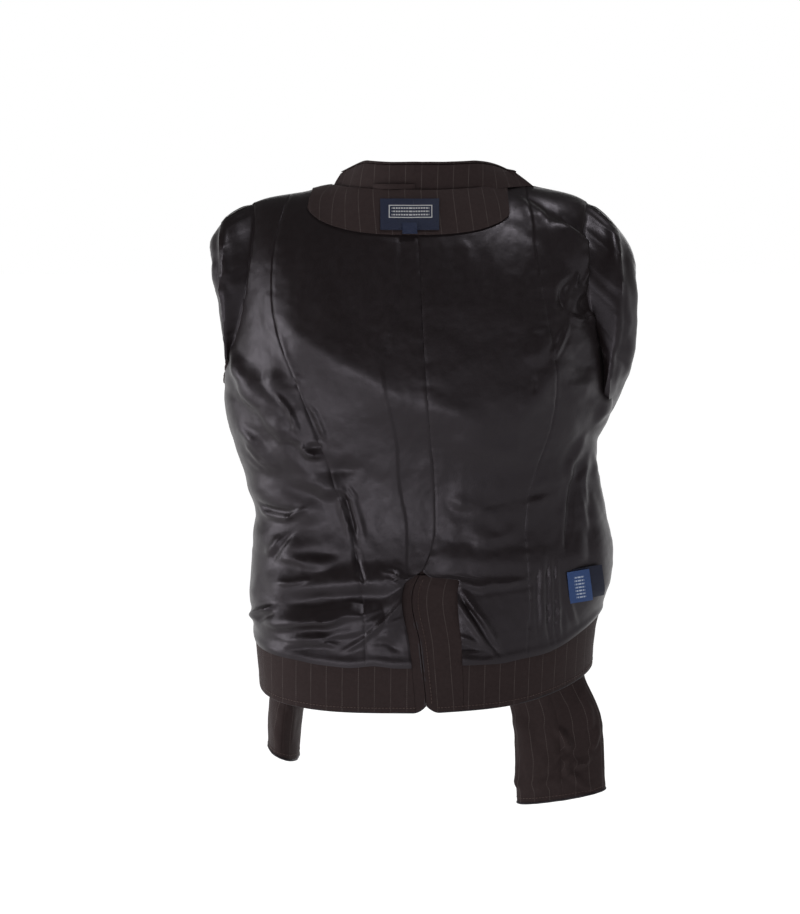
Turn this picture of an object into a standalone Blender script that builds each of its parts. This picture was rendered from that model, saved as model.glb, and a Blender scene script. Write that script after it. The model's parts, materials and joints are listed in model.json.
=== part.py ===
"""Women's cropped blazer in pinstripe twill, turned inside out and hanging as worn.

The body is a wall of cloth round a general figure, lining outwards, open at the neck, the hem and
between its two front edges, which lie at the rear. The sleeves stay right side out: each rolls over
at its armhole and hangs inside the body, down past the hem.

Sizes are in millimetres and become metres where meshes are made. +Z is up, the centre back faces -Y,
"left" is -X, and the origin lies between the two neck points, at the height of the neck seam.
"""
import math
from collections import namedtuple

import bmesh
import bpy
import numpy as np
from mathutils import Vector

MM = 0.001

# Cloth
TWILL = 1.6
SATIN = 1.0
FACING = 1.2
LABEL = 0.7
SEAM = 0.4              # space between neighbouring pieces
SHELL_DEPTH = 0.6       # the outer cloth lies this far inside the body's drawn surface
LAP = 0.9               # space between a panel and what lies on it
LINING_LAP = 1.8        # the lining hangs this far off the outer cloth at its edges
LINING_EASE = 1.7       # and this much further within

# Body
NECK_SEAM = 0.42        # share of the way from centre back to side, at the neck point
REAR_NECK = 1.55        # the same point, counted on round the front panel
FRONT_EDGE = 1.86
FACING_EDGE = 1.60
SHOULDER_BLEND = 120.0
SHOULDER_GAP = 0.45     # each panel's edge stands this far from the shoulder seam
ARMHOLE_TOP = -20.0
ARMHOLE_FOOT = -225.0
ARMHOLE_HALF_DEPTH = 52.0
ARMHOLE_INSET = 2.4     # the sleeve's edge lies this far inside the armhole's
ARMHOLE_ROWS = 8
REAR_SQUARE = 2.2       # how square the section is behind
LOWER_ROWS = 10
BACK_COLUMNS = 5
SIDE_COLUMNS = 6
FRONT_COLUMNS = 4
TOP_ROWS = 3             # rows nearest the top edge, which the lining doesn't divide

# Lapel: shares down the roll line, then distances
LAPEL_FIRST = 0.15
LAPEL_LAST = 0.98
LAPEL_START = 0.03
ROLL_FROM = 0.75        # from here down its edge lies close in the roll
LAPEL_INSET = 2.0
LAPEL_LEAST = 6.0

# Collar: COLLAR_NECK is the neck point's place on it, and COLLAR_PAST the share it goes on by
COLLAR_NECK = 0.70
COLLAR_PAST = 0.045
STAND_FOOT_RISE = 1.4
ROLL_RISE = 2.4
FALL_STAND_OFF = 6.4
FALL_SPREAD = 0.30

# Hanger loop
LOOP_HEIGHTS = (3.0, 9.0)
LOOP_START = -0.30
LOOP_SPAN = 0.32
LOOP_BOW = 4.0
LOOP_THICK = 1.8

# Hem and vent
HEM_BAND = 57.0
LINING_HEM = 58.6
VENT_TOP = -446.0
VENT_CORNER = 12.0
VENT_STEP = 8.0         # height over which the lining's edge goes out round the vent's top
VENT_FACING = {-1: 13.0, 1: 42.0}
VENT_SHARE = 0.05       # where rows are measured beside the vent
HEM_CLEAR = 1.2         # facings start this far above the hem
FIRST_LINING_ROW = 6.0  # the lining's lowest row of the body's own lies at least this far up it
HOLE_WIDER = 3.0        # the lining's armhole is this much wider than the cloth's
HOLE_TALLER = 2.0
FACING_GAP = 0.003      # shares between the front facing and its neighbours
EDGE_GAP = 0.002

# Back neck facing
NECK_FACING_HALF = {-1: 150.0, 1: 112.0}
NECK_FACING_DEPTH = 52.0
NECK_FACING_POWER = 2.5
NECK_FACING_COLUMNS = 4     # it ends at this column of the back panels

# Collar
STAND_HEIGHT = 31.0
STAND_LEAN = 3.0
STAND_SIDE_LEAN = {-1: 15.0, 1: -6.0}    # further in at the neck's sides
FALL_DEPTH = 44.0
LAPEL_WIDTH = 58.0
LAPEL_SPACE = 4.4        # between the lapel and the front it is turned on
ROLL_SPACE = 0.9         # the same at the roll line's lower end

COLOURS = {
    "twill": (0.026, 0.020, 0.020, 1.0),
    "satin": (0.016, 0.014, 0.016, 1.0),
    "ribbon": (0.020, 0.035, 0.090, 1.0),
}
ROUGHNESS = {"twill": 0.85, "satin": 0.32, "ribbon": 0.6}

# Sections of the body, hem to neck. The squares are superellipse powers for each front corner, and
# the seams are the princess seams' places, from 0 at the centre back to 1 at the side.
BodyRow = namedtuple("BodyRow", "height left right front rear left_square right_square "
                                "left_seam right_seam")
BODY = [
    BodyRow(-640, 201, 196, 130, 104, 3.4, 1.8, 0.25, 0.46),
    BodyRow(-590, 203, 199, 128, 103, 3.4, 1.8, 0.25, 0.46),
    BodyRow(-530, 208, 203, 123, 100, 3.2, 1.9, 0.26, 0.46),
    BodyRow(-480, 212, 215, 116, 95, 3.0, 2.0, 0.27, 0.45),
    BodyRow(-435, 209, 221, 109, 89, 2.8, 2.1, 0.31, 0.43),
    BodyRow(-385, 205, 210, 105, 86, 2.7, 2.1, 0.35, 0.44),
    BodyRow(-340, 217, 199, 108, 88, 2.6, 2.1, 0.40, 0.48),
    BodyRow(-300, 230, 199, 116, 92, 2.5, 2.1, 0.43, 0.53),
    BodyRow(-250, 241, 213, 125, 95, 2.4, 2.2, 0.47, 0.54),
    BodyRow(-200, 238, 212, 126, 93, 2.4, 2.2, 0.54, 0.54),
    BodyRow(-140, 230, 204, 116, 84, 2.4, 2.2, 0.63, 0.54),
    BodyRow(-80, 225, 200, 98, 68, 2.4, 2.2, 0.68, 0.53),
    BodyRow(-20, 218, 197, 76, 52, 2.3, 2.2, 0.70, 0.525),
    BodyRow(20, 214, 194, 62, 45, 2.3, 2.2, 0.70, 0.525),
]

# The panels' top edge: neck seam and shoulder seam out to the tip. The front panel's shoulder comes
# back along the same line, and its lapel's roll line then goes down to the front edge.
TopRow = namedtuple("TopRow", "share left_x right_x y left_z right_z")
TOP = [
    TopRow(0.00, 0, 0, -62, 0, 0),
    TopRow(0.14, 37, 37, -57, 0, 0),
    TopRow(0.28, 74, 74, -39, 2, 2),
    TopRow(0.42, 106, 104, 2, 4, 6),
    TopRow(0.62, 146, 138, 8, -3, 1),
    TopRow(0.85, 194, 178, 12, -11, -9),
    TopRow(1.00, 218, 197, 14, -20, -20),
]
ROLL_LINE = [
    TopRow(1.55, 106, 104, 2, 4, 6),
    TopRow(1.66, 86, 81, 45, -75, -75),
    TopRow(1.77, 63, 59, 81, -195, -195),
    TopRow(1.86, 36, 34, 88, -330, -330),
]

HemRow = namedtuple("HemRow", "share left right")
HEM = [
    HemRow(0.0, -607, -607),
    HemRow(0.5, -604, -599),
    HemRow(0.8, -594, -588),
    HemRow(1.0, -584, -584),
    HemRow(1.5, -590, -588),
    HemRow(1.9, -600, -594),
]

# Loops of each sleeve after the armhole: the middle's distance out from the centre, its depth and
# height, the loop's half sizes, and its lean, from 0 upright to 90 lying flat.
SleeveRow = namedtuple("SleeveRow", "out deep height half_long half_deep lean")
RIGHT_SLEEVE = [
    SleeveRow(222, 2, -142, 106, 60, 2),
    SleeveRow(234, 4, -147, 95, 54, 1),
    SleeveRow(245, 4, -151, 75, 44, 0),
    SleeveRow(243, 4, -154, 58, 35, 0),
    SleeveRow(212, 2, -152, 54, 32, 4),
    SleeveRow(176, 0, -156, 56, 30, 24),
    SleeveRow(142, -2, -200, 60, 29, 62),
    SleeveRow(128, -4, -262, 62, 28, 84),
    SleeveRow(122, -5, -340, 60, 26, 90),
    SleeveRow(126, -6, -430, 58, 25, 90),
    SleeveRow(132, -6, -515, 55, 23, 90),
    SleeveRow(138, -6, -583, 51, 22, 90),
    SleeveRow(158, -6, -640, 53, 21, 90),
    SleeveRow(165, -6, -740, 53, 20, 92),
]
LEFT_SLEEVE = [
    SleeveRow(242, 2, -124, 92, 57, 0),
    SleeveRow(247, 4, -121, 76, 50, -3),
    SleeveRow(251, 4, -118, 60, 40, -8),
    SleeveRow(247, 4, -121, 53, 33, -10),
    SleeveRow(222, 2, -126, 62, 31, 2),
    SleeveRow(188, 0, -144, 66, 30, 28),
    SleeveRow(162, 0, -190, 64, 30, 66),
    SleeveRow(146, 2, -250, 60, 30, 86),
    SleeveRow(142, 0, -330, 50, 33, 90),
    SleeveRow(148, -4, -420, 40, 37, 90),
    SleeveRow(160, -8, -510, 30, 41, 90),
    SleeveRow(168, -10, -590, 22, 44, 90),
    SleeveRow(175, -6, -640, 20, 48, 90),
    SleeveRow(177, -4, -681, 18, 50, 88),
]
SLEEVES = {-1: LEFT_SLEEVE, 1: RIGHT_SLEEVE}
ROLL_ROWS = 5            # rows of the rolled part, where loops lie closer
SLEEVE_LINING_LOOPS = 14
SLEEVE_STEP_OUT = 5.0    # straight out of the armhole before the sleeve widens
SLEEVE_LAP = 0.5
SLEEVE_CLEAR = 0.6       # between the body's cloth and the sleeve's first loop
CUFF_TILT = {-1: -0.5, 1: 0.13}     # rise along X at the open end

# Large folds in the lining, on the front view: two ends, half width and rise.
FoldRow = namedtuple("FoldRow", "x1 z1 x2 z2 half rise")
FOLDS = [
    FoldRow(76, -8, 138, -42, 15, 8),           # crest inside the right shoulder
    FoldRow(138, -42, 194, -92, 15, 9),
    FoldRow(-181, -222, -138, -300, 14, 6),     # hooked fold on the left side
    FoldRow(-222, -215, -160, -262, 18, 7),     # edge over the deep left crease
    FoldRow(-212, -272, -118, -336, 16, 6),
    FoldRow(-196, -352, -140, -372, 15, 5),
    FoldRow(-195, -408, -130, -432, 15, 5),
    FoldRow(-172, -462, -42, -450, 15, 6),      # swags above the left hem
    FoldRow(-176, -505, -60, -500, 15, 6),
    FoldRow(12, -252, 80, -286, 20, 5),         # swags on the right
    FoldRow(80, -286, 150, -284, 20, 5),
    FoldRow(40, -352, 150, -330, 16, 5),
    FoldRow(32, -388, 128, -366, 15, 4),
    FoldRow(26, -428, 126, -434, 16, 5),
    FoldRow(22, -460, 84, -538, 14, 5),         # the lining's ease beside the vent
    FoldRow(-28, -470, -68, -540, 14, 5),
    FoldRow(186, -305, 206, -470, 12, 5),       # fan below the right waist
    FoldRow(183, -305, 176, -430, 10, 4),
]


# Trim on the back: sides and heights, and how far the left and right ends stand off the lining.
LabelRow = namedtuple("LabelRow", "name left right low high above_left above_right columns rows")
ON_FACING = LAP + FACING + LAP
ON_LABEL = ON_FACING + LABEL + LAP
LABELS = [
    LabelRow("neck_label", -56.0, 11.0, -47.0, -11.0, ON_FACING, ON_FACING, 4, 2),
    LabelRow("size_tab", -31.0, -9.0, -52.0, -39.0, ON_LABEL, ON_LABEL, 2, 1),
    LabelRow("care_label_under", 168.0, 196.0, -482.0, -444.0, 0.7, 6.0, 3, 3),
    LabelRow("care_label", 163.0, 186.0, -484.0, -446.0, 0.9, 6.6, 3, 3),
]


class Track:
    """A smooth line through the values of one column, read at any place between its rows."""

    def __init__(self, places, values):
        self.places = np.array(places, float)
        self.values = np.array(values, float)
        self.slopes = np.gradient(self.values, self.places)

    def __call__(self, place):
        last = len(self.places) - 2
        i = min(max(int(np.searchsorted(self.places, place)) - 1, 0), last)
        span = self.places[i + 1] - self.places[i]
        t = min(max((place - self.places[i]) / span, 0.0), 1.0)
        t2, t3 = t * t, t * t * t
        return float((2 * t3 - 3 * t2 + 1) * self.values[i] + (t3 - 2 * t2 + t) * span * self.slopes[i]
                     + (3 * t2 - 2 * t3) * self.values[i + 1] + (t3 - t2) * span * self.slopes[i + 1])


def track(rows, key, column):
    return Track([getattr(row, key) for row in rows], [getattr(row, column) for row in rows])


def ease(t):
    t = min(max(t, 0.0), 1.0)
    return t * t * (3.0 - 2.0 * t)


# The centre back seam's place along X. The vent's flaps meet further left, and so does the neck.
CENTRE = [(-640, 0), (-600, -3), (-530, -10), (-460, -18), (-425, 0), (-400, 6), (-360, 7),
          (-280, 1), (-190, -6), (-60, -13), (0, -19), (20, -20)]
centre_track = Track([height for height, _ in CENTRE], [x for _, x in CENTRE])


def side_name(side):
    return "left" if side < 0 else "right"


body_tracks = {name: track(BODY, "height", name) for name in BodyRow._fields[1:]}
hem_tracks = {side: track(HEM, "share", side_name(side)) for side in (-1, 1)}
top_tracks = {}
for line_name, line_rows in (("top", TOP), ("roll", ROLL_LINE)):
    for side in (-1, 1):
        top_tracks[(line_name, side)] = (track(line_rows, "share", side_name(side) + "_x"),
                                         track(line_rows, "share", "y"),
                                         track(line_rows, "share", side_name(side) + "_z"))


# ---------------------------------------------------------------- the body's surface

QUARTER = np.linspace(0.0, math.pi / 2, 91)
section_store = {}


def section(side, height):
    """Half a section at one height, from the centre back round the side to the rear middle."""
    key = (side, round(height, 2))
    if key in section_store:
        return section_store[key]
    half = body_tracks[side_name(side)](height)
    front = body_tracks["front"](height)
    rear = body_tracks["rear"](height)
    power = 2.0 / body_tracks[side_name(side) + "_square"](height)
    rear_power = 2.0 / REAR_SQUARE
    s, c = np.sin(QUARTER), np.cos(QUARTER)
    x = np.concatenate([half * s ** power, half * c[1:] ** rear_power])
    y = np.concatenate([-front * np.abs(c) ** power, rear * s[1:] ** rear_power])
    y[len(QUARTER) - 1] = 0.0
    steps = np.hypot(np.diff(x), np.diff(y))
    walk = np.concatenate([[0.0], np.cumsum(steps)])
    corner = walk[len(QUARTER) - 1]
    share = np.where(walk <= corner, walk / corner, 1.0 + (walk - corner) / (walk[-1] - corner))
    section_store[key] = (x, y, share, corner, walk[-1] - corner)
    return section_store[key]


def section_point(side, share, height):
    x, y, shares, _, _ = section(side, height)
    return side * float(np.interp(share, shares, x)), float(np.interp(share, shares, y))


def top_point(side, share):
    if share > REAR_NECK:
        tracks = top_tracks[("roll", side)]
    else:
        tracks = top_tracks[("top", side)]
        if share > 1.0:
            share = 1.0 - (share - 1.0) * (1.0 - NECK_SEAM) / (REAR_NECK - 1.0)
    x, y, z = (line(share) for line in tracks)
    return side * x, y, z


def hem_height(side, share):
    corner = max(0.0, 1.0 - share * 250.0 / VENT_CORNER)
    return hem_tracks[side](share) + 0.6 * VENT_CORNER * corner * corner


def roundness(share):
    """How the top edge turns over: 0.5 is a quarter round, as on the shoulders, and 1 is soft."""
    if share <= 1.0:
        return 0.85 - 0.35 * ease(share / NECK_SEAM)
    return 0.5 + 0.5 * ease((share - REAR_NECK) / 0.15)


def body_point(side, share, rise):
    """A point of the body: share goes round from the centre back, rise from hem 0 to top edge 1."""
    share = max(share, 0.0)
    top_x, top_y, top_z = top_point(side, share)
    low = hem_height(side, share)
    height = low + (top_z - low) * rise
    x, y = section_point(side, share, height)
    reach = 0.3 + 0.5 * ease((height + 380.0) / 120.0)
    x += centre_track(height) * (1.0 - ease(share / reach))
    edge_x, edge_y = section_point(side, share, top_z)
    below = min(max((top_z - height) / SHOULDER_BLEND, 0.0), 1.0)
    lean = 1.0 - (below * (2.0 - below)) ** roundness(share)
    if NECK_SEAM < share <= 1.0:
        top_y -= SHOULDER_GAP * ease((share - NECK_SEAM) * 20.0)
    elif 1.0 < share < REAR_NECK:
        top_y += SHOULDER_GAP
    return Vector((x + lean * (top_x - edge_x), y + lean * (top_y - edge_y), height))


def body_normal(side, share, rise):
    """The direction out of the body, towards the lining's side."""
    if rise > 0.995 and NECK_SEAM < share < REAR_NECK:
        return Vector((0.25 * side * ease(share - 0.5), 0.0, 1.0)).normalized()
    e = 0.012
    share = max(share, 0.02)
    low, high = (1.0, share + e) if 1.0 < share < 1.0 + e else (share - e, share + e)
    high = min(high, 1.0 if share <= 1.0 else FRONT_EDGE)
    around = body_point(side, high, rise) - body_point(side, low, rise)
    up = body_point(side, share, min(rise + e, 1.0)) - body_point(side, share, max(rise - e, 0.0))
    return (around.cross(up) * side).normalized()


def rise_at(side, share, height):
    low = hem_height(side, share)
    return (height - low) / (top_point(side, share)[2] - low)


def fold_rise(point):
    """How far the lining stands off the cloth at a point of the front view."""
    total = 0.0
    for fold in FOLDS:
        dx, dz = fold.x2 - fold.x1, fold.z2 - fold.z1
        along = ((point.x - fold.x1) * dx + (point.z - fold.z1) * dz) / (dx * dx + dz * dz)
        near = min(max(along, 0.0), 1.0)
        away = math.hypot(point.x - fold.x1 - near * dx, point.z - fold.z1 - near * dz)
        total = max(total, fold.rise * ease(1.0 - away / (1.6 * fold.half)))
    return total


# ---------------------------------------------------------------- making solids

collection = bpy.data.collections.new("Blazer")


def start_scene():
    for item in list(bpy.data.objects):
        bpy.data.objects.remove(item, do_unlink=True)
    bpy.context.scene.collection.children.link(collection)


def material(kind):
    found = bpy.data.materials.get(kind)
    if found:
        return found
    made = bpy.data.materials.new(kind)
    made.use_nodes = True
    shader = made.node_tree.nodes["Principled BSDF"]
    shader.inputs["Base Color"].default_value = COLOURS[kind]
    shader.inputs["Roughness"].default_value = ROUGHNESS[kind]
    shader.inputs["Metallic"].default_value = 0.0
    made.diffuse_color = COLOURS[kind]
    return made


def wall(name, kind, points, normals, inner, outer, closed=False):
    """A wall of cloth on a grid of points. It lies between two distances along the normals.

    inner and outer are numbers or grids like the points. With closed, the columns join in a ring.
    """
    rows, columns = len(points), len(points[0])
    mesh = bmesh.new()
    sheets = []
    for distance in (inner, outer):
        sheet = []
        for i in range(rows):
            line = []
            for j in range(columns):
                away = distance[i][j] if isinstance(distance, list) else distance
                line.append(mesh.verts.new((points[i][j] + normals[i][j] * away) * MM))
            sheet.append(line)
        sheets.append(sheet)
    low, high = sheets
    span = columns if closed else columns - 1
    for i in range(rows - 1):
        for j in range(span):
            k = (j + 1) % columns
            mesh.faces.new((low[i][j], low[i][k], low[i + 1][k], low[i + 1][j]))
            mesh.faces.new((high[i][j], high[i + 1][j], high[i + 1][k], high[i][k]))
    for j in range(span):
        k = (j + 1) % columns
        mesh.faces.new((low[0][j], high[0][j], high[0][k], low[0][k]))
        mesh.faces.new((low[-1][j], low[-1][k], high[-1][k], high[-1][j]))
    if not closed:
        for i in range(rows - 1):
            mesh.faces.new((low[i][0], low[i + 1][0], high[i + 1][0], high[i][0]))
            mesh.faces.new((low[i][-1], high[i][-1], high[i + 1][-1], low[i + 1][-1]))
    bmesh.ops.recalc_face_normals(mesh, faces=mesh.faces)
    if mesh.calc_volume(signed=True) < 0:
        bmesh.ops.reverse_faces(mesh, faces=mesh.faces)
    bmesh.ops.triangulate(mesh, faces=mesh.faces)
    data = bpy.data.meshes.new(name)
    mesh.to_mesh(data)
    mesh.free()
    data.shade_smooth()
    data.set_sharp_from_angle(angle=math.radians(40))
    data.materials.append(material(kind))
    item = bpy.data.objects.new(name, data)
    collection.objects.link(item)
    return item


# ---------------------------------------------------------------- rows and seams of the body

def armhole_rises(side):
    """Rises of the rows beside the armhole, from underarm to shoulder tip, and its half openings."""
    low, top = hem_height(side, 1.0), top_point(side, 1.0)[2]
    middle, half = (ARMHOLE_TOP + ARMHOLE_FOOT) / 2, (ARMHOLE_TOP - ARMHOLE_FOOT) / 2
    rows = []
    for j in range(ARMHOLE_ROWS + 1):
        angle = math.pi * j / ARMHOLE_ROWS
        height = middle - half * math.cos(angle)
        rows.append(((height - low) / (top - low), ARMHOLE_HALF_DEPTH * math.sin(angle)))
    return rows


def body_rises(side):
    """Every row of the body: its rise and the armhole's half opening there."""
    upper = armhole_rises(side)
    foot = upper[0][0]
    return [(foot * i / LOWER_ROWS, 0.0) for i in range(LOWER_ROWS)] + upper


def armhole_share(side, rise, opening, turn):
    """Where the armhole's edge meets a row, on the back (turn -1) or the front panel (turn 1)."""
    if opening < 0.01:
        return 1.0
    low, top = hem_height(side, 1.0), top_point(side, 1.0)[2]
    _, _, _, front, rear = section(side, low + (top - low) * rise)
    return 1.0 + turn * opening / (front if turn < 0 else rear)


def gap(side, rise, turn=-1):
    """Half a seam's space, as a share of the way round."""
    low, top = hem_height(side, 0.8), top_point(side, 0.8)[2]
    _, _, _, front, rear = section(side, low + (top - low) * rise)
    return 0.5 * SEAM / (front if turn < 0 else rear)


def seam_share(side, rise):
    low, top = hem_height(side, 0.6), top_point(side, 0.6)[2]
    return body_tracks[side_name(side) + "_seam"](low + (top - low) * rise)


def panel(name, kind, side, rows, start, end, columns, beyond=None, inner=-SHELL_DEPTH - TWILL,
          outer=-SHELL_DEPTH):
    """A panel over whole rows of the body between two seams.

    beyond carries it on to a further share, in a number of columns of their own.
    """
    points, normals = [], []
    for rise, opening in rows:
        first, last = start(rise, opening), end(rise, opening)
        shares = list(np.linspace(first, last, columns + 1))
        if beyond:
            shares += list(np.linspace(last, beyond[0], beyond[1] + 1))[1:]
        points.append([body_point(side, share, rise) for share in shares])
        normals.append([body_normal(side, share, rise) for share in shares])
    return wall(name, kind, points, normals, inner, outer)


def make_outer_cloth(side):
    name = side_name(side)
    rows = body_rises(side)
    panel("back_" + name, "twill", side, rows,
          lambda rise, opening: gap(side, rise),
          lambda rise, opening: seam_share(side, rise) - gap(side, rise),
          BACK_COLUMNS)
    panel("side_" + name, "twill", side, rows,
          lambda rise, opening: seam_share(side, rise) + gap(side, rise),
          lambda rise, opening: armhole_share(side, rise, opening, -1) - gap(side, rise),
          SIDE_COLUMNS)
    panel("front_" + name, "twill", side, rows,
          lambda rise, opening: armhole_share(side, rise, opening, 1) + gap(side, rise, 1),
          lambda rise, opening: FACING_EDGE,
          FRONT_COLUMNS, beyond=(FRONT_EDGE, 3))


# ---------------------------------------------------------------- lining

def lining_rises(side, fine):
    """The lining's rows: its lower edge, marked 0, then the outer cloth's own rows and ones between.

    Two of them move to the top of the vent.
    """
    rises = [rise for rise, _ in body_rises(side)]
    if fine:
        last = len(rises) - TOP_ROWS
        rises = sorted(rises + [(rises[i] + rises[i + 1]) / 2 for i in range(last)])
        vent = rise_at(side, VENT_SHARE, VENT_TOP + VENT_STEP)
        nearest = min(range(len(rises)), key=lambda i: abs(rises[i] - vent))
        rises[nearest] = vent
        rises[nearest - 1] = rise_at(side, VENT_SHARE, VENT_TOP)
    low = rise_at(side, 1.0, hem_height(side, 1.0) + LINING_HEM + FIRST_LINING_ROW)
    return [0.0] + [rise for rise in rises if rise > low]


def lining_low(side, share):
    return rise_at(side, share, hem_height(side, share) + LINING_HEM)


def lining_stand(side, share, rise):
    """How far the lining's inner face stands off the body's surface."""
    low = lining_low(side, share)
    part = (rise - low) / (1.0 - low)
    within = min(part, 1.0 - part)
    stand = LINING_LAP + LINING_EASE * ease(within * 8.0)
    if share < 1.02:
        stand += fold_rise(body_point(side, share, rise)) * ease(within * 10.0)
    return stand


def lining_wall(name, side, rows, start, end, columns):
    """A lining panel between two seams; folds lift it off the cloth."""
    points, normals, inner, outer = [], [], [], []
    for row in rows:
        line, outs, low_line, high_line = [], [], [], []
        first, last = start(row), end(row)
        for j in range(columns + 1):
            share = first + (last - first) * j / columns
            rise = row if row > 0.0 else lining_low(side, share)
            stand = lining_stand(side, share, rise)
            line.append(body_point(side, share, rise))
            outs.append(body_normal(side, share, rise))
            low_line.append(stand)
            high_line.append(stand + SATIN)
        points.append(line)
        normals.append(outs)
        inner.append(low_line)
        outer.append(high_line)
    return wall(name, "satin", points, normals, inner, outer)


def vent_share(side, row):
    """The lining's inner edge: on the centre seam, then out round the vent."""
    base, top = hem_height(side, VENT_SHARE), top_point(side, VENT_SHARE)[2]
    height = base + (top - base) * max(row, lining_low(side, VENT_SHARE))
    length = section(side, height)[3]
    beside = (VENT_FACING[side] + SEAM) / length
    return max(gap(side, row), beside * ease((VENT_TOP + VENT_STEP - height) / VENT_STEP))


def make_lining(side):
    name = side_name(side)
    rows = lining_rises(side, True)

    def seam(row):
        return seam_share(side, max(row, lining_low(side, 0.6)))

    lining_wall("back_lining_" + name, side, rows,
                lambda row: vent_share(side, row),
                lambda row: seam(row) - 2.0 * gap(side, row),
                2 * BACK_COLUMNS)
    low, top = hem_height(side, 1.0), top_point(side, 1.0)[2]
    middle = (ARMHOLE_TOP + ARMHOLE_FOOT) / 2
    half = (ARMHOLE_TOP - ARMHOLE_FOOT) / 2 + HOLE_TALLER

    def hole(row, turn):
        across = (low + (top - low) * row - middle) / half
        opening = (ARMHOLE_HALF_DEPTH + HOLE_WIDER) * math.sqrt(max(0.0, 1.0 - across * across))
        return armhole_share(side, row, opening, turn)

    lining_wall("side_lining_" + name, side, rows,
                lambda row: seam(row) + 2.0 * gap(side, row),
                lambda row: hole(row, -1) - gap(side, row),
                2 * SIDE_COLUMNS)
    lining_wall("front_lining_" + name, side, lining_rises(side, False),
                lambda row: hole(row, 1) + gap(side, row, 1),
                lambda row: FACING_EDGE - gap(side, row, 1),
                FRONT_COLUMNS)


# ---------------------------------------------------------------- facings

def strip(name, side, share_range, heights, columns):
    """A facing on the body between two shares. Each row's height is a function of share."""
    first, last = share_range
    points, normals = [], []
    for height in heights:
        line, outs = [], []
        for j in range(columns + 1):
            share = first + (last - first) * j / columns
            rise = rise_at(side, share, height(share))
            line.append(body_point(side, share, rise))
            outs.append(body_normal(side, share, rise))
        points.append(line)
        normals.append(outs)
    return wall(name, "twill", points, normals, LAP, LAP + FACING)


def make_facings(side):
    name = side_name(side)
    length = section(side, -590.0)[3]
    vent_edge = VENT_FACING[side] / length

    def above_hem(distance):
        return lambda share: hem_height(side, share) + distance

    def vent_row(part):
        return lambda share: VENT_TOP + (hem_height(side, share) + HEM_CLEAR - VENT_TOP) * part

    panel_row = body_rises(side)[1][0] * (top_point(side, 1.0)[2] - hem_height(side, 1.0))
    hem_rows = [above_hem(HEM_CLEAR), above_hem(panel_row), above_hem(HEM_BAND)]
    strip("vent_facing_" + name, side, (SEAM / length, vent_edge),
          [vent_row(1.0 - i / 6) for i in range(7)], 2)
    strip("hem_facing_back_" + name, side, (vent_edge + SEAM / length, 0.999), hem_rows, 12)
    strip("hem_facing_front_" + name, side, (1.001, FACING_EDGE - FACING_GAP), hem_rows, FRONT_COLUMNS)
    panel("front_facing_" + name, "twill", side, body_rises(side),
          lambda rise, opening: FACING_EDGE + EDGE_GAP, lambda rise, opening: FRONT_EDGE,
          3, inner=LAP, outer=LAP + FACING)


def neck_facing_foot(side, share):
    """Height of the back neck facing's curved lower edge."""
    x = abs(section_point(side, share, -40.0)[0]) / NECK_FACING_HALF[side]
    return -NECK_FACING_DEPTH * max(0.01, 1.0 - x ** NECK_FACING_POWER) ** (1.0 / NECK_FACING_POWER)


def make_neck_facing():
    """One piece over the top of the back lining, from the neck seam to its round lower edge."""
    points, normals, inner, outer = [], [], [], []
    half_columns = 2 * NECK_FACING_COLUMNS
    for i in range(TOP_ROWS + 1):
        line, outs, low_line, high_line = [], [], [], []
        for j in range(-half_columns, half_columns + 1):
            side = -1 if j < 0 else 1
            row = body_rises(side)[i - TOP_ROWS - 1][0]
            share = abs(j) / (2 * BACK_COLUMNS) * seam_share(side, row)
            foot = neck_facing_foot(side, share)
            rise = rise_at(side, share, foot + 3.0 * i)
            if i:
                rise = max(rise, row)
            stand = lining_stand(side, share, rise) + SATIN + LAP
            line.append(body_point(side, share, rise))
            outs.append(body_normal(side, share, rise))
            low_line.append(stand)
            high_line.append(stand + FACING)
        points.append(line)
        normals.append(outs)
        inner.append(low_line)
        outer.append(high_line)
    return wall("neck_facing", "twill", points, normals, inner, outer)


def make_lapel(side):
    """The turned part of the front, lying on the outer cloth inside the body."""
    points, normals, inner, outer = [], [], [], []
    rows, columns = 8, 4
    for i in range(rows + 1):
        down = LAPEL_FIRST + (LAPEL_LAST - LAPEL_FIRST) * i / rows
        edge = REAR_NECK + LAPEL_START + (FRONT_EDGE - REAR_NECK - LAPEL_START) * down
        height = top_point(side, edge)[2] - 1.0
        length = section(side, height)[4]
        belly = 0.55 + 0.45 * math.sin(math.pi * min(down * 1.5, 1.0))
        width = LAPEL_WIDTH * belly * ease(4.4 * (1.03 - down))
        line, outs, low_line, high_line = [], [], [], []
        for j in range(columns + 1):
            across = j / columns
            share = edge - (LAPEL_INSET + max(width, LAPEL_LEAST) * across) / length
            rise = min(rise_at(side, share, height - 3.0), 0.99)
            line.append(body_point(side, share, rise))
            outs.append(body_normal(side, share, rise))
            space = ROLL_SPACE if j == 0 and down > ROLL_FROM else LAPEL_SPACE
            high_line.append(-SHELL_DEPTH - TWILL - space)
            low_line.append(high_line[-1] - FACING)
        points.append(line)
        normals.append(outs)
        inner.append(low_line)
        outer.append(high_line)
    return wall("lapel_" + side_name(side), "twill", points, normals, inner, outer)


# ---------------------------------------------------------------- collar

def collar_base(place):
    """The neck edge under the collar. place goes from -1 at the left end to 1 at the right."""
    side = -1 if place < 0 else 1
    away = abs(place)
    front_part = COLLAR_NECK
    if away <= front_part:
        share = NECK_SEAM * away / front_part
    else:
        share = REAR_NECK + COLLAR_PAST * (away - front_part) / (1.0 - front_part)
    x, y, z = body_point(side, share, 1.0)
    out = body_normal(side, max(share, 0.02) if away <= front_part else share, 0.97)
    flat = Vector((x, y - 12.0, 0.0)).normalized()
    return side, share, Vector((x, y, z)), out, flat


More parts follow.
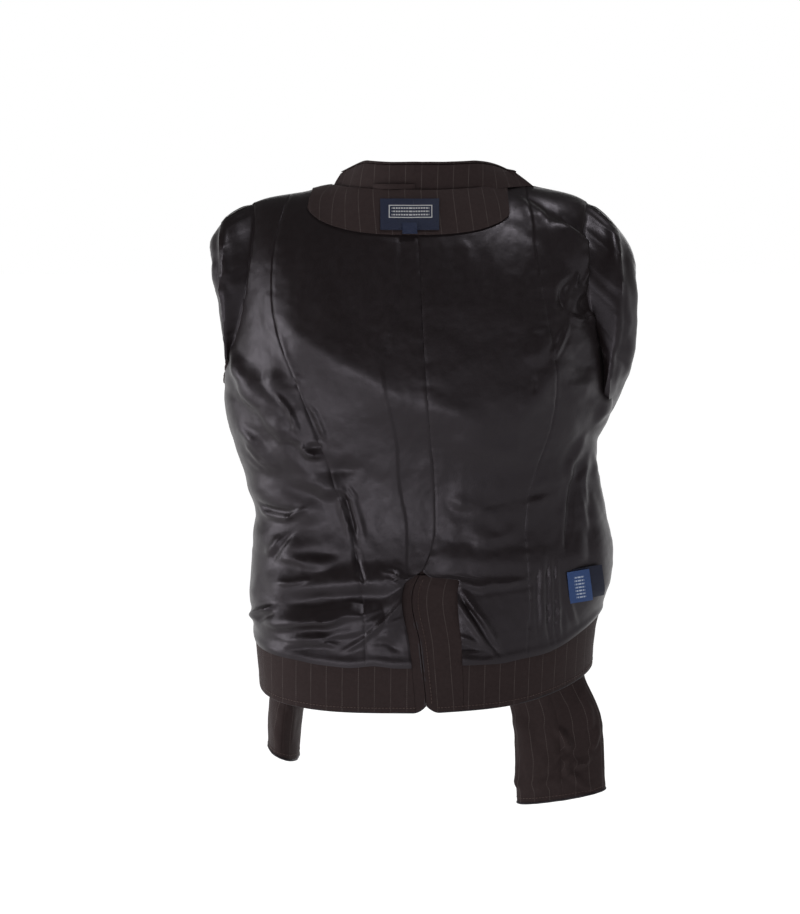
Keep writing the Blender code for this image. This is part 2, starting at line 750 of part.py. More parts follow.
def make_collar():
    steps = 20
    stand_points, stand_normals = [[], [], []], [[], [], []]
    fall_points, fall_normals = [[], [], [], [], []], [[], [], [], [], []]
    for k in range(steps + 1):
        place = -1.0 + 2.0 * k / steps
        side, share, base, out, flat = collar_base(place)
        tall = STAND_HEIGHT * (1.0 - 0.7 * ease((abs(place) - 0.5) / 0.5))
        foot = SEAM + STAND_FOOT_RISE * ease((abs(place) - COLLAR_NECK) / 0.1)
        lean_in = STAND_LEAN + STAND_SIDE_LEAN[side] * ease((abs(place) - 0.2) / 0.5)
        for i, up in enumerate((foot, 0.5 * tall, tall)):
            lean = lean_in * up / STAND_HEIGHT
            stand_points[i].append(base + Vector((0, 0, up)) - flat * lean)
            stand_normals[i].append(flat)
        crest = base + Vector((0, 0, tall)) - flat * (lean_in * tall / STAND_HEIGHT)
        fall = FALL_DEPTH * (0.72 + 0.28 * abs(place))
        drop = tall + fall
        rows = ((-0.3, ROLL_RISE), (-3.2, ROLL_RISE + 0.8), (-5.0, -0.5 * tall), (-5.6, -tall - 2.0),
                (-FALL_STAND_OFF, -drop + 8.0))
        for i, (depth, height) in enumerate(rows):
            spread = FALL_SPREAD * max(0.0, -height - tall)
            fall_points[i].append(crest + flat * (depth + spread) + Vector((0, 0, height)))
        fall_normals[0].append(Vector((0, 0, 1)))
        fall_normals[1].append((Vector((0, 0, 1)) - flat).normalized())
        for i in (2, 3, 4):
            fall_normals[i].append(-flat)
    wall("collar_stand", "twill", stand_points, stand_normals, -TWILL, 0.0)
    wall("collar_fall", "twill", fall_points, fall_normals, 0.0, FACING)


def make_hanger_loop():
    """A narrow strap along the foot of the stand, sewn at both ends and bowed in the middle."""
    points, normals = [], []
    for height in LOOP_HEIGHTS:
        line, outs = [], []
        for k in range(9):
            place = LOOP_START + LOOP_SPAN * k / 8
            _, _, base, _, flat = collar_base(place)
            bow = LOOP_BOW * math.sin(math.pi * k / 8)
            line.append(base + Vector((0, 0, height)) + flat * (0.7 + bow))
            outs.append(flat)
        points.append(line)
        normals.append(outs)
    return wall("hanger_loop", "twill", points, normals, 0.0, LOOP_THICK)


# ---------------------------------------------------------------- labels

def back_place(x, height):
    """The side and share at which the back passes a place along X, at a height."""
    low, high = -1.0, 1.0
    for _ in range(24):
        middle = (low + high) / 2
        side = -1 if middle < 0 else 1
        if body_point(side, abs(middle), rise_at(side, abs(middle), height)).x < x:
            low = middle
        else:
            high = middle
    return (-1 if low < 0 else 1), abs(low)


def patch(name, x_range, z_range, above, thick, columns, rows):
    """A flat trim piece on the back, made from the lining's points and moved out.

    above holds its distances at its two ends along X.
    """
    points, normals, inner, outer = [], [], [], []
    for i in range(rows + 1):
        z = z_range[0] + (z_range[1] - z_range[0]) * i / rows
        line, outs, low_line, high_line = [], [], [], []
        for j in range(columns + 1):
            x = x_range[0] + (x_range[1] - x_range[0]) * j / columns
            side, share = back_place(x, z)
            rise = rise_at(side, share, z)
            away = above[0] + (above[1] - above[0]) * j / columns
            stand = lining_stand(side, share, rise) + SATIN + away
            line.append(body_point(side, share, rise))
            outs.append(body_normal(side, share, rise))
            low_line.append(stand)
            high_line.append(stand + thick)
        points.append(line)
        normals.append(outs)
        inner.append(low_line)
        outer.append(high_line)
    return wall(name, "ribbon", points, normals, inner, outer)


def make_labels():
    for row in LABELS:
        patch(row.name, (row.left, row.right), (row.low, row.high), (row.above_left, row.above_right), LABEL,
              row.columns, row.rows)


# ---------------------------------------------------------------- sleeves

def armhole_loop(side):
    """Points and outward directions round the armhole, from the underarm up the back panel's edge."""
    rows = armhole_rises(side)
    around = [(rise, opening, -1) for rise, opening in rows]
    around += [(rise, opening, 1) for rise, opening in rows[-2:0:-1]]
    points, directions = [], []
    middle = Vector((0.0, 0.0, (ARMHOLE_TOP + ARMHOLE_FOOT) / 2))
    for rise, opening, turn in around:
        share = armhole_share(side, rise, opening, turn)
        point = body_point(side, share, rise)
        inward = middle - point
        inward.x = 0.0
        points.append(point + inward.normalized() * ARMHOLE_INSET)
        out = body_normal(side, share, min(rise, 0.99))
        directions.append((out + Vector((1.5 * side, 0.0, 0.0))).normalized())
    return points, directions


def loop_points(side, row, count):
    """One loop of a sleeve, starting from the underarm and passing the back panel's side first."""
    lean = math.radians(row.lean)
    long_axis = Vector((-side * math.sin(lean), 0.0, math.cos(lean)))
    middle = Vector((side * row.out, row.deep, row.height))
    points = []
    for j in range(count):
        angle = 2.0 * math.pi * j / count
        points.append(middle - long_axis * row.half_long * math.cos(angle)
                      + Vector((0.0, -row.half_deep * math.sin(angle), 0.0)))
    return points


def sleeve_grid(side):
    """All loops of a sleeve, armhole to cuff, with normals towards the lining's side."""
    rows = SLEEVES[side]
    tracks = [Track(range(len(rows)), [row[c] for row in rows]) for c in range(len(rows[0]))]
    first, directions = armhole_loop(side)
    count = len(first)
    points = [[point + out * SLEEVE_CLEAR for point, out in zip(first, directions)],
              [point + out * SLEEVE_STEP_OUT for point, out in zip(first, directions)]]
    places = [k / 2 for k in range(2 * ROLL_ROWS)] + list(range(ROLL_ROWS, len(rows)))
    for place in places:
        row = SleeveRow(*(line(place) for line in tracks))
        loop = loop_points(side, row, count)
        if place == places[-1]:
            for point in loop:
                point.z += CUFF_TILT[side] * (point.x - side * row.out)
        points.append(loop)
    normals = []
    for i in range(len(points)):
        outs = []
        for j in range(count):
            along = points[min(i + 1, len(points) - 1)][j] - points[max(i - 1, 0)][j]
            around = points[i][(j + 1) % count] - points[i][j - 1]
            outs.append((along.cross(around) * side).normalized())
        normals.append(outs)
    return points, normals


def make_sleeve(side):
    name = side_name(side)
    points, normals = sleeve_grid(side)
    half = len(points[0]) // 2

    def half_sleeve(label, first):
        columns = [(first + j) % (2 * half) for j in range(half + 1)]
        part_points, part_normals = [], []
        for line, outs in zip(points, normals):
            new_line = [line[c].copy() for c in columns]
            for end, inner in ((0, 1), (-1, -2)):
                step = (new_line[inner] - new_line[end]).normalized()
                new_line[end] = new_line[end] + step * (0.5 * SEAM)
            part_points.append(new_line)
            part_normals.append([outs[c] for c in columns])
        wall(label + name, "twill", part_points, part_normals, -TWILL, 0.0)

    quarter = half // 2
    half_sleeve("upper_sleeve_", quarter)
    half_sleeve("under_sleeve_", quarter + half)
    rows = SLEEVE_LINING_LOOPS
    wall("sleeve_lining_" + name, "satin", points[1:rows], normals[1:rows], SLEEVE_LAP,
         SLEEVE_LAP + SATIN, closed=True)


def build():
    start_scene()
    for side in (-1, 1):
        make_outer_cloth(side)
        make_lining(side)
        make_facings(side)
        make_lapel(side)
        make_sleeve(side)
    make_neck_facing()
    make_collar()
    make_hanger_loop()
    make_labels()


build()
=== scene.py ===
import json
import math
from functools import partial

import bmesh
import bpy
import numpy as np
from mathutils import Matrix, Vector

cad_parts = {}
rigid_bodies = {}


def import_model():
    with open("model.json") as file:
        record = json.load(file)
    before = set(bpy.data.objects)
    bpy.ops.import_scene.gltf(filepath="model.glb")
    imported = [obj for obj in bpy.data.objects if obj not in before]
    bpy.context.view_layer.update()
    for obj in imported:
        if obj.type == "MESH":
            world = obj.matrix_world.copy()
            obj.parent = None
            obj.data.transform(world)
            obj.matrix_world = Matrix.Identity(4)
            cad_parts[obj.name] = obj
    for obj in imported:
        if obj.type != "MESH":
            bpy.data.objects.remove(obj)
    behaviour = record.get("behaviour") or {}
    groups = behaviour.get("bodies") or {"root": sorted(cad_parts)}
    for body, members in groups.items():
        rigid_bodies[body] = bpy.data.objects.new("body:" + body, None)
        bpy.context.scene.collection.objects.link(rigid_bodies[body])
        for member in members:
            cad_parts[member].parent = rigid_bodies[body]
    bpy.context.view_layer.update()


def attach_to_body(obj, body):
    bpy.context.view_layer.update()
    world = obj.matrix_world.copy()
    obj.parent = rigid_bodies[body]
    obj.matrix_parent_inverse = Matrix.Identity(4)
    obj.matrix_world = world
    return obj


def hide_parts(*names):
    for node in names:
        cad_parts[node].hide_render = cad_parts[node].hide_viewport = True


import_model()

# A cropped pinstripe blazer turned inside out. Its cloth is made here as thin sheets over the packed
# walls. Cloth sizes are in millimetres, +Z up, and the centre back faces -Y.
mm = 0.001

bodyCut = {
    "columns": "height left right front rear leftSquare rightSquare leftSeam rightSeam",
    "rows": [
        (-640, 201, 196, 130, 104, 3.4, 1.8, 0.25, 0.46),
        (-590, 203, 199, 128, 103, 3.4, 1.8, 0.25, 0.46),
        (-530, 208, 203, 123, 100, 3.2, 1.9, 0.26, 0.46),
        (-480, 212, 215, 116, 95, 3.0, 2.0, 0.27, 0.45),
        (-435, 209, 221, 109, 89, 2.8, 2.1, 0.31, 0.43),
        (-385, 205, 210, 105, 86, 2.7, 2.1, 0.35, 0.44),
        (-340, 217, 199, 108, 88, 2.6, 2.1, 0.40, 0.48),
        (-300, 230, 199, 116, 92, 2.5, 2.1, 0.43, 0.53),
        (-250, 241, 213, 125, 95, 2.4, 2.2, 0.47, 0.54),
        (-200, 238, 212, 126, 93, 2.4, 2.2, 0.54, 0.54),
        (-140, 230, 204, 116, 84, 2.4, 2.2, 0.63, 0.54),
        (-80, 225, 200, 98, 68, 2.4, 2.2, 0.68, 0.53),
        (-20, 218, 197, 76, 52, 2.3, 2.2, 0.70, 0.525),
        (20, 214, 194, 62, 45, 2.3, 2.2, 0.70, 0.525),
    ],
    "rearSquare": 2.2,
    "neckSeam": 0.42, "rearNeck": 1.55, "facingEdge": 1.60, "frontEdge": 1.86,
    "shoulderBlend": 120.0, "shoulderGap": 0.45,
    "ventCorner": 15.0, "ventTop": -446.0, "ventStep": 8.0, "hemLevel": -590.0, "hemQuarter": 250.0,
    "cornerRise": 0.6, "normalStep": 0.012, "nearCentre": 0.02, "shoulderTurn": 0.8, "sideLine": 1.02,
}
topEdge = {
    "columns": "share leftX rightX y leftZ rightZ",
    "rows": [
        (0.00, 0, 0, -62, 0, 0),
        (0.14, 37, 37, -57, 0, 0),
        (0.28, 74, 74, -39, 2, 2),
        (0.42, 106, 104, 2, 4, 6),
        (0.62, 146, 138, 8, -3, 1),
        (0.85, 194, 178, 12, -11, -9),
        (1.00, 218, 197, 14, -20, -20),
    ],
}
rollLine = {
    "columns": "share leftX rightX y leftZ rightZ",
    "rows": [
        (1.55, 106, 104, 2, 4, 6),
        (1.66, 86, 81, 45, -75, -75),
        (1.77, 63, 59, 81, -195, -195),
        (1.86, 36, 34, 88, -330, -330),
    ],
}
hemLine = {
    "columns": "share left right",
    "rows": [(0.0, -607, -607), (0.5, -604, -599), (0.8, -594, -584),
             (1.0, -584, -573), (1.5, -590, -586), (1.9, -600, -594)],
}
centreSeam = {
    "columns": "height x",
    "rows": [(-640, 0), (-600, -3), (-530, -10), (-460, -18), (-425, 0), (-400, 6), (-360, 7),
             (-280, 1), (-190, -6), (-60, -13), (0, -19), (20, -20)],
}


neckSeam, rearNeck, facingEdge, frontEdge = (bodyCut[key] for key in ("neckSeam", "rearNeck", "facingEdge",
                                                                       "frontEdge"))


def ease(t):
    t = np.clip(t, 0.0, 1.0)
    return t * t * (3.0 - 2.0 * t)


def smoothLine(places, values):
    places = np.array(places, float)
    values = np.array(values, float)
    slopes = np.gradient(values, places, axis=0)

    def read(place):
        place = np.asarray(place, float)
        i = np.clip(np.searchsorted(places, place) - 1, 0, len(places) - 2)
        span = places[i + 1] - places[i]
        t = np.clip((place - places[i]) / span, 0.0, 1.0)
        if values.ndim > 1:
            shape = t.shape + (1,) * (values.ndim - 1)
            t, span = t.reshape(shape), span.reshape(shape)
        t2, t3 = t * t, t * t * t
        return ((2 * t3 - 3 * t2 + 1) * values[i] + (t3 - 2 * t2 + t) * span * slopes[i]
                + (3 * t2 - 2 * t3) * values[i + 1] + (t3 - t2) * span * slopes[i + 1])

    return read


def tableLines(table):
    names = table["columns"].split()
    columns = np.array(table["rows"], float).T
    return {name: smoothLine(columns[0], column) for name, column in zip(names[1:], columns[1:])}


def fractions(count):
    # evenly spaced places from 0 to 1
    return np.linspace(0.0, 1.0, count)


def walked(points):
    # the distance walked along each line of points
    steps = np.linalg.norm(np.diff(points, axis=-2), axis=-1)
    return np.concatenate([np.zeros_like(steps[..., :1]), np.cumsum(steps, axis=-1)], axis=-1)


def sideName(side):
    return "left" if side < 0 else "right"


bodyLines = tableLines(bodyCut)
topLines = tableLines(topEdge)
rollLines = tableLines(rollLine)
hemLines = tableLines(hemLine)
centreLine = tableLines(centreSeam)["x"]


# Half sections of the body on a grid of heights and shares, so that whole sheets are read at once.
sectionStep, shareStep = 2.0, 0.005
sectionHeights = np.arange(-700.0, 64.0, sectionStep)
sectionShares = np.linspace(0.0, 2.0, 401)


def makeSections(side):
    quarter = np.linspace(0.0, math.pi / 2, 91)
    s, c = np.sin(quarter), np.abs(np.cos(quarter))
    rear = 2.0 / bodyCut["rearSquare"]
    half = bodyLines[sideName(side)](sectionHeights)[:, None]
    front = bodyLines["front"](sectionHeights)[:, None]
    back = bodyLines["rear"](sectionHeights)[:, None]
    power = 2.0 / bodyLines[sideName(side) + "Square"](sectionHeights)[:, None]
    x = np.concatenate([half * s ** power, half * c[1:] ** rear], axis=1)
    y = np.concatenate([-front * c ** power, back * s[1:] ** rear], axis=1)
    middle = len(quarter) - 1
    y[:, middle] = 0.0
    walk = walked(np.stack([x, y], axis=-1))
    corner = walk[:, middle:middle + 1]
    share = np.where(walk <= corner, walk / corner, 1.0 + (walk - corner) / (walk[:, -1:] - corner))
    grid = np.stack([[np.interp(sectionShares, *row) for row in zip(share, values)]
                     for values in (side * x, y)], axis=-1)
    return {"grid": grid, "front": corner[:, 0], "rear": walk[:, -1] - corner[:, 0]}


sections = {side: makeSections(side) for side in (-1, 1)}


def sectionPoint(side, share, height):
    i = np.clip((height - sectionHeights[0]) / sectionStep, 0.0, len(sectionHeights) - 1.001)
    j = np.clip(share / shareStep, 0.0, len(sectionShares) - 1.001)
    i0, j0 = i.astype(int), j.astype(int)
    fi, fj = (i - i0)[..., None], (j - j0)[..., None]
    grid = sections[side]["grid"]
    low = grid[i0, j0] * (1 - fj) + grid[i0, j0 + 1] * fj
    high = grid[i0 + 1, j0] * (1 - fj) + grid[i0 + 1, j0 + 1] * fj
    found = low * (1 - fi) + high * fi
    return found[..., 0], found[..., 1]


def sectionLength(side, height, part="front"):
    return np.interp(height, sectionHeights, sections[side][part])


def topPoint(side, share):
    back = (1.0 - neckSeam) / (rearNeck - 1.0)
    upper = np.where(share > 1.0, 1.0 - (share - 1.0) * back, share)
    names = (sideName(side) + "X", "y", sideName(side) + "Z")
    x, y, z = (np.where(share > rearNeck, rollLines[name](share), topLines[name](upper))
               for name in names)
    return side * x, y, z


def hemHeight(side, share):
    corner = np.maximum(0.0, 1.0 - share * bodyCut["hemQuarter"] / bodyCut["ventCorner"])
    return hemLines[sideName(side)](share) + bodyCut["cornerRise"] * bodyCut["ventCorner"] * corner * corner


def roundness(share):
    return np.where(share <= 1.0, 0.85 - 0.35 * ease(share / neckSeam),
                    0.5 + 0.5 * ease((share - rearNeck) / 0.15))


def bodyPoint(side, share, rise):
    # share goes round from the centre back, rise from the hem 0 to the top edge 1
    share, rise = np.broadcast_arrays(np.maximum(share, 0.0), rise)
    topX, topY, topZ = topPoint(side, share)
    low = hemHeight(side, share)
    height = low + (topZ - low) * rise
    x, y = sectionPoint(side, share, height)
    reach = 0.3 + 0.5 * ease((height + 380.0) / 120.0)
    x = x + centreLine(height) * (1.0 - ease(share / reach))
    edgeX, edgeY = sectionPoint(side, share, topZ)
    below = np.clip((topZ - height) / bodyCut["shoulderBlend"], 0.0, 1.0)
    lean = 1.0 - (below * (2.0 - below)) ** roundness(share)
    onBack = (share > neckSeam) & (share <= 1.0)
    onFront = (share > 1.0) & (share < rearNeck)
    topY = topY - np.where(onBack, bodyCut["shoulderGap"] * ease((share - neckSeam) * 20.0), 0.0)
    topY = topY + np.where(onFront, bodyCut["shoulderGap"], 0.0)
    return np.stack([x + lean * (topX - edgeX), y + lean * (topY - edgeY), height], axis=-1)


def unit(vectors):
    return vectors / np.maximum(np.linalg.norm(vectors, axis=-1, keepdims=True), 1e-9)


def bodyNormal(side, share, rise):
    # straight out from the body, and upwards where the cloth turns over the shoulder
    step, centre = bodyCut["normalStep"], bodyCut["nearCentre"]
    share, rise = np.broadcast_arrays(np.maximum(share, centre), rise)
    low = np.where((share > 1.0) & (share < 1.0 + step), 1.0, share - step)
    high = np.minimum(share + step, np.where(share <= 1.0, 1.0, frontEdge))
    around = bodyPoint(side, high, rise) - bodyPoint(side, low, rise)
    above = bodyPoint(side, share, np.minimum(rise + step, 1.0))
    below = bodyPoint(side, share, np.maximum(rise - step, 0.0))
    found = unit(np.cross(around, above - below) * side)
    found[..., 0] *= ease((share - centre) / 0.05)
    crown = np.stack([0.25 * side * ease(share - 0.5), np.zeros_like(share), np.ones_like(share)], axis=-1)
    onShoulder = (share > neckSeam) & (share < rearNeck)
    blend = np.where(onShoulder, ease((rise - 0.975) / 0.02), 0.0)[..., None]
    return unit(found * (1.0 - blend) + unit(crown) * blend)


def onBody(side, share, rise):
    return bodyPoint(side, share, rise), bodyNormal(side, share, rise)


def riseAt(side, share, height):
    low = hemHeight(side, share)
    return (height - low) / (topPoint(side, share)[2] - low)


def riseSteps(step, length=600.0):
    # places from 0 to 1 up a panel, evenly spaced on the cloth where it turns over the shoulder
    start = bodyCut["shoulderTurn"]
    lower = np.linspace(0.0, start, int(start * length / step), endpoint=False)
    turn = np.linspace(0.0, math.pi / 2, int(0.27 * length / step))
    return np.concatenate([lower, start + (1.0 - start) * np.sin(turn)])


def seamShare(side, rise):
    low, top = hemHeight(side, np.array(0.6)), topPoint(side, np.array(0.6))[2]
    return bodyLines[sideName(side) + "Seam"](low + (top - low) * rise)


def softNoise(x, y, seed):
    # smooth noise from -1 to 1, one cell to a unit
    values = np.random.RandomState(seed).uniform(-1.0, 1.0, (64, 64))
    x0, y0 = np.floor(x).astype(int), np.floor(y).astype(int)
    fx, fy = ease(x - x0), ease(y - y0)
    a = values[x0 % 64, y0 % 64] * (1 - fx) + values[(x0 + 1) % 64, y0 % 64] * fx
    b = values[x0 % 64, (y0 + 1) % 64] * (1 - fx) + values[(x0 + 1) % 64, (y0 + 1) % 64] * fx
    return a * (1 - fy) + b * fy


# Large folds on the front view: two ends, half width and rise.
foldRise = {"right": 0.45, "other": 0.8, "spread": 1.6}
broadFolds = [
    (76, -8, 138, -42, 15, 8), (138, -42, 194, -92, 15, 9), (-181, -222, -138, -300, 14, 6),
    (-222, -215, -160, -262, 18, 7), (-212, -272, -118, -336, 16, 6), (-196, -352, -140, -372, 15, 5),
    (-195, -408, -130, -432, 15, 5), (-172, -462, -42, -450, 15, 6), (-176, -505, -60, -500, 15, 6),
    (12, -252, 80, -286, 20, 5), (80, -286, 150, -284, 20, 5), (40, -352, 150, -330, 16, 5),
    (32, -388, 128, -366, 15, 4), (26, -428, 126, -434, 16, 5), (22, -460, 84, -538, 14, 5),
    (-28, -470, -68, -540, 14, 5), (186, -305, 206, -470, 12, 5), (183, -305, 176, -430, 10, 4),
]
# Creases on the front view: both ends and the middle, half width, rise and steepness of one flank.
creases = {
    "body": [
        (74, -1, 115, -15, 139, -41, 8, 5, 0.5), (139, -41, 175, -58, 200, -95, 6.9, 6, 0.5),
        (200, -95, 214, -125, 201, -168, 6.9, 6, 0.3), (94, 0, 145, -21, 191, -59, 8, -4, 0),
        (165, -99, 151, -117, 158, -138, 4, -3.5, 0), (158, -138, 171, -148, 188, -143, 3.4, 3.5, 0.4),
        (184, -141, 192, -151, 200, -163, 3.4, 3, 0), (175, -119, 185, -129, 193, -137, 14.9, -6, 0),
        (169, -112, 170, -104, 172, -93, 2.5, 1.8, 0), (179, -110, 181, -101, 185, -90, 2.5, 2, 0),
        (191, -112, 193, -103, 199, -95, 2.5, 1.6, 0), (200, -163, 212, -190, 210, -219, 4.6, 4, 0),
        (210, -219, 206, -249, 188, -277, 4.6, 3, 0), (208, -232, 208, -264, 203, -302, 14, 7, 0),
        (188, -277, 169, -312, 161, -347, 4.6, 4, 0), (160, -148, 152, -173, 140, -198, 3, 3, 0.3),
        (152, -157, 146, -175, 137, -192, 2.3, 2.2, 0.3), (132, -152, 126, -178, 113, -202, 11.5, 3, 0),
        (157, -179, 175, -198, 201, -204, 13.8, -3, 0), (152, -219, 170, -230, 199, -222, 7.5, 1.6, 0),
        (118, -209, 118, -221, 117, -233, 2.1, -1.6, 0), (-195, -257, -219, -221, -227, -180, 9, 6, 0.6),
        (-144, -288, -170, -278, -197, -254, 8, 5.5, 0.6),
        (-227, -188, -211, -266, -148, -309, 13, -4.5, 0), (-153, -307, -113, -321, -71, -319, 9, -3.5, 0),
        (-222, -266, -198, -302, -168, -326, 7, 3.5, 0.3), (-173, -325, -130, -342, -92, -342, 8, 3, 0.2),
        (-212, -292, -205, -304, -193, -311, 2.8, 1.8, 0.2),
        (-207, -302, -198, -314, -186, -319, 2.8, 1.6, 0.2),
        (-212, -311, -202, -320, -191, -326, 2.6, 1.4, 0.2),
        (-178, -228, -158, -255, -144, -288, 3.2, 2.6, 0.3),
        (-146, -283, -139, -301, -116, -303, 3.2, 3.2, 0.3),
        (-139, -294, -130, -295, -119, -294, 4, -2.5, 0),
        (-143, -241, -132, -267, -122, -292, 2.4, -1.8, 0),
        (-139, -241, -127, -265, -117, -289, 3, 1.6, 0), (-200, -361, -177, -373, -146, -368, 3.8, -3, 0),
        (-198, -369, -177, -381, -150, -375, 4, 2.5, 0), (-170, -386, -155, -375, -141, -366, 3, 3, 0.5),
        (-101, -344, -93, -373, -83, -417, 3, -3.2, 0), (-88, -411, -81, -436, -74, -461, 3, -3.2, 0),
        (-107, -347, -100, -376, -92, -417, 4, 1.8, 0), (-91, -344, -84, -373, -74, -415, 4, 1.6, 0),
        (-104, -342, -97, -349, -89, -360, 2.4, 1.4, 0), (-96, -338, -89, -347, -82, -356, 2.4, 1.2, 0),
        (-155, -395, -171, -418, -183, -439, 3.4, -3, 0),
        (-165, -399, -178, -415, -189, -433, 4.6, 2.2, 0),
        (-161, -422, -135, -421, -102, -425, 7, -2.5, 0),
        (-142, -439, -155, -432, -171, -436, 4, 3.2, 0.7),
        (-133, -450, -154, -458, -181, -461, 3.4, 2.6, 0.7), (-29, -463, -105, -475, -174, -475, 9, -4, 0),
        (-42, -480, -116, -498, -199, -514, 8, 6, 0.8), (-95, -490, -126, -505, -157, -502, 3.6, 1.6, 0.3),
        (-69, -507, -117, -519, -192, -524, 4.6, 2.6, 0.8),
        (-104, -536, -143, -526, -181, -543, 6, 5, 0.8), (-108, -538, -65, -510, -25, -468, 3.2, 4.6, 0.7),
        (-206, -518, -199, -499, -175, -484, 4.2, 4.5, 0.4),
        (-199, -515, -192, -502, -176, -493, 4, -2.5, 0), (-30, -453, -43, -445, -60, -441, 3.4, 1.6, 0.4),
        (-30, -461, -42, -453, -54, -449, 2.6, 1.2, 0.3), (-56, -507, -41, -499, -26, -496, 2.8, 1.7, 0.4),
        (-69, -531, -51, -525, -30, -535, 4.5, -2, 0), (-199, -451, -204, -470, -205, -487, 3, 1.2, 0),
        (4, -450, -25, -453, -49, -437, 3.2, 1.6, 0.3), (142, -313, 77, -302, 3, -276, 15, 4.2, 0.2),
        (74, -369, 48, -364, 22, -351, 9, 2.4, 0.2), (115, -388, 74, -403, 36, -393, 9, 3.2, 0.3),
        (115, -344, 142, -339, 165, -327, 7, 2.4, 0), (107, -368, 138, -356, 161, -345, 7, 2, 0),
        (129, -447, 72, -459, 1, -450, 6, 3.6, 0.5), (25, -451, 57, -504, 89, -550, 2.6, -3.2, 0),
        (32, -451, 63, -501, 94, -544, 3, 3, 0), (34, -468, 58, -499, 78, -526, 2.2, -2, 0),
        (20, -458, 48, -501, 79, -546, 3, 2, 0), (26, -522, 51, -534, 83, -547, 5.5, -4, 0),
        (24, -513, 39, -518, 57, -526, 2.6, 2.2, 0.3), (23, -525, 32, -532, 40, -541, 2.4, 2, 0.3),
        (83, -552, 58, -549, 34, -541, 3.2, 3.2, 0.5), (127, -430, 126, -477, 129, -546, 2.4, -1.6, 0),
        (139, -417, 139, -485, 145, -548, 2.2, -2.4, 0), (146, -419, 148, -485, 151, -546, 2, -2, 0),
        (153, -424, 155, -485, 160, -536, 2.8, -1.4, 0), (132, -427, 132, -477, 136, -540, 2.8, 1.2, 0),
        (150, -429, 152, -485, 155, -541, 2.4, 1, 0), (161, -470, 169, -499, 180, -520, 3, 1.3, 0),
        (157, -453, 160, -485, 169, -512, 2.6, -1.2, 0), (167, -326, 163, -382, 160, -429, 3, -3, 0),
        (184, -304, 180, -340, 186, -379, 3.5, 3, 0), (189, -304, 196, -346, 208, -395, 3, 2.8, 0),
        (176, -326, 176, -364, 192, -421, 3.5, 2.4, 0), (195, -326, 205, -364, 212, -403, 3, 2.2, 0),
        (-199, -130, -162, -197, -147, -223, 4.6, 1.2, 0),
        (-129, -83, -115, -161, -98, -241, 18.4, 1.4, 0), (80, -69, 98, -138, 103, -207, 20.7, 1.4, 0),
        (34, -53, 48, -83, 46, -115, 8, 1.2, 0), (-52, -126, -44, -161, -39, -186, 5.8, 0.8, 0),
    ],
    "puff": [
        (153, -27, 166, -39, 174, -61, 5.2, 3.5, 0), (205, -40, 219, -66, 206, -131, 6.9, 4, 0),
        (217, -60, 232, -120, 235, -178, 5.8, 3, 0), (201, -156, 219, -186, 236, -206, 5.8, -4, 0),
        (238, -168, 240, -198, 228, -228, 5.8, 2.5, 0), (217, -131, 225, -156, 240, -168, 5.8, 2, 0),
        (181, -19, 197, -38, 206, -59, 4.6, 2.5, 0), (209, -216, 209, -240, 196, -271, 5.8, 2.5, 0),
        (225, -192, 221, -227, 206, -259, 4.6, 2, 0), (-247, -38, -240, -82, -229, -120, 4.6, 3, 0),
        (-244, -108, -236, -115, -229, -124, 2.8, -3, 0), (-233, -26, -220, -55, -214, -86, 5.8, 2.4, 0),
        (-257, -72, -250, -103, -238, -132, 5.8, 2.2, 0),
        (-228, -132, -214, -153, -199, -165, 4.6, 2.2, 0),
    ],
    "sleeve": [
        (156, -646, 166, -662, 174, -682, 4.1, 8, 0.4), (174, -682, 185, -694, 199, -679, 3.5, 4.8, 0.2),
        (199, -679, 204, -666, 208, -648, 3.1, 4.2, 0), (174, -682, 170, -696, 169, -710, 3.1, 4.2, 0),
        (146, -706, 158, -686, 169, -674, 2.7, 3.2, 0), (108, -631, 120, -660, 118, -696, 8.3, 3.2, 0),
        (110, -696, 108, -715, 118, -732, 4.1, 3.8, 0), (126, -732, 146, -718, 168, -720, 4.1, 2.6, 0),
        (190, -612, 197, -634, 202, -660, 4.1, 2.9, 0), (168, -706, 190, -718, 204, -732, 4.1, 3.2, 0),
        (-184, -612, -179, -642, -181, -674, 5.8, 1.8, 0),
        (-168, -600, -166, -636, -168, -672, 3.4, 1.4, 0),
    ],
    "rear": [
        (-188, -60, -150, -92, -120, -150, 9, 3, 0.2), (-205, -150, -160, -190, -110, -200, 11, 3.5, 0.2),
        (-200, -215, -150, -250, -90, -255, 10, 4, 0.3), (-190, -300, -140, -325, -70, -318, 10, 3.2, 0.1),
        (-180, -370, -130, -388, -60, -372, 9, 3, 0), (-188, -470, -120, -455, -50, -470, 8, 3, 0.2),
        (-165, -520, -110, -505, -55, -515, 6, 2.6, 0.2), (-100, -400, -88, -450, -80, -510, 7, 2.2, 0),
        (180, -60, 150, -95, 118, -148, 9, 3, 0.2), (196, -140, 150, -185, 100, -190, 11, 3.5, 0.2),
        (190, -240, 140, -262, 84, -250, 10, 3.6, 0.2), (186, -318, 140, -330, 74, -322, 9, 3.2, 0.1),
        (196, -385, 150, -400, 70, -380, 9, 3, 0), (196, -440, 190, -480, 186, -520, 6, 2.4, 0),
        (176, -512, 120, -500, 60, -514, 6, 2.6, 0.2), (110, -400, 96, -450, 90, -505, 7, 2.2, 0),
    ],
}


def broadRise(x, z):
    # how far the large folds lift the lining
    total = np.zeros(np.broadcast(x, z).shape)
    for x1, z1, x2, z2, half, rise in broadFolds:
        rise = rise * foldRise["right" if x1 > 0 and z1 < -240 and x2 < 160 else "other"]
        dx, dz = x2 - x1, z2 - z1
        near = np.clip(((x - x1) * dx + (z - z1) * dz) / (dx * dx + dz * dz), 0.0, 1.0)
        away = np.hypot(x - x1 - near * dx, z - z1 - near * dz)
        total = np.maximum(total, rise * ease(1.0 - away / (foldRise["spread"] * half)))
    return total


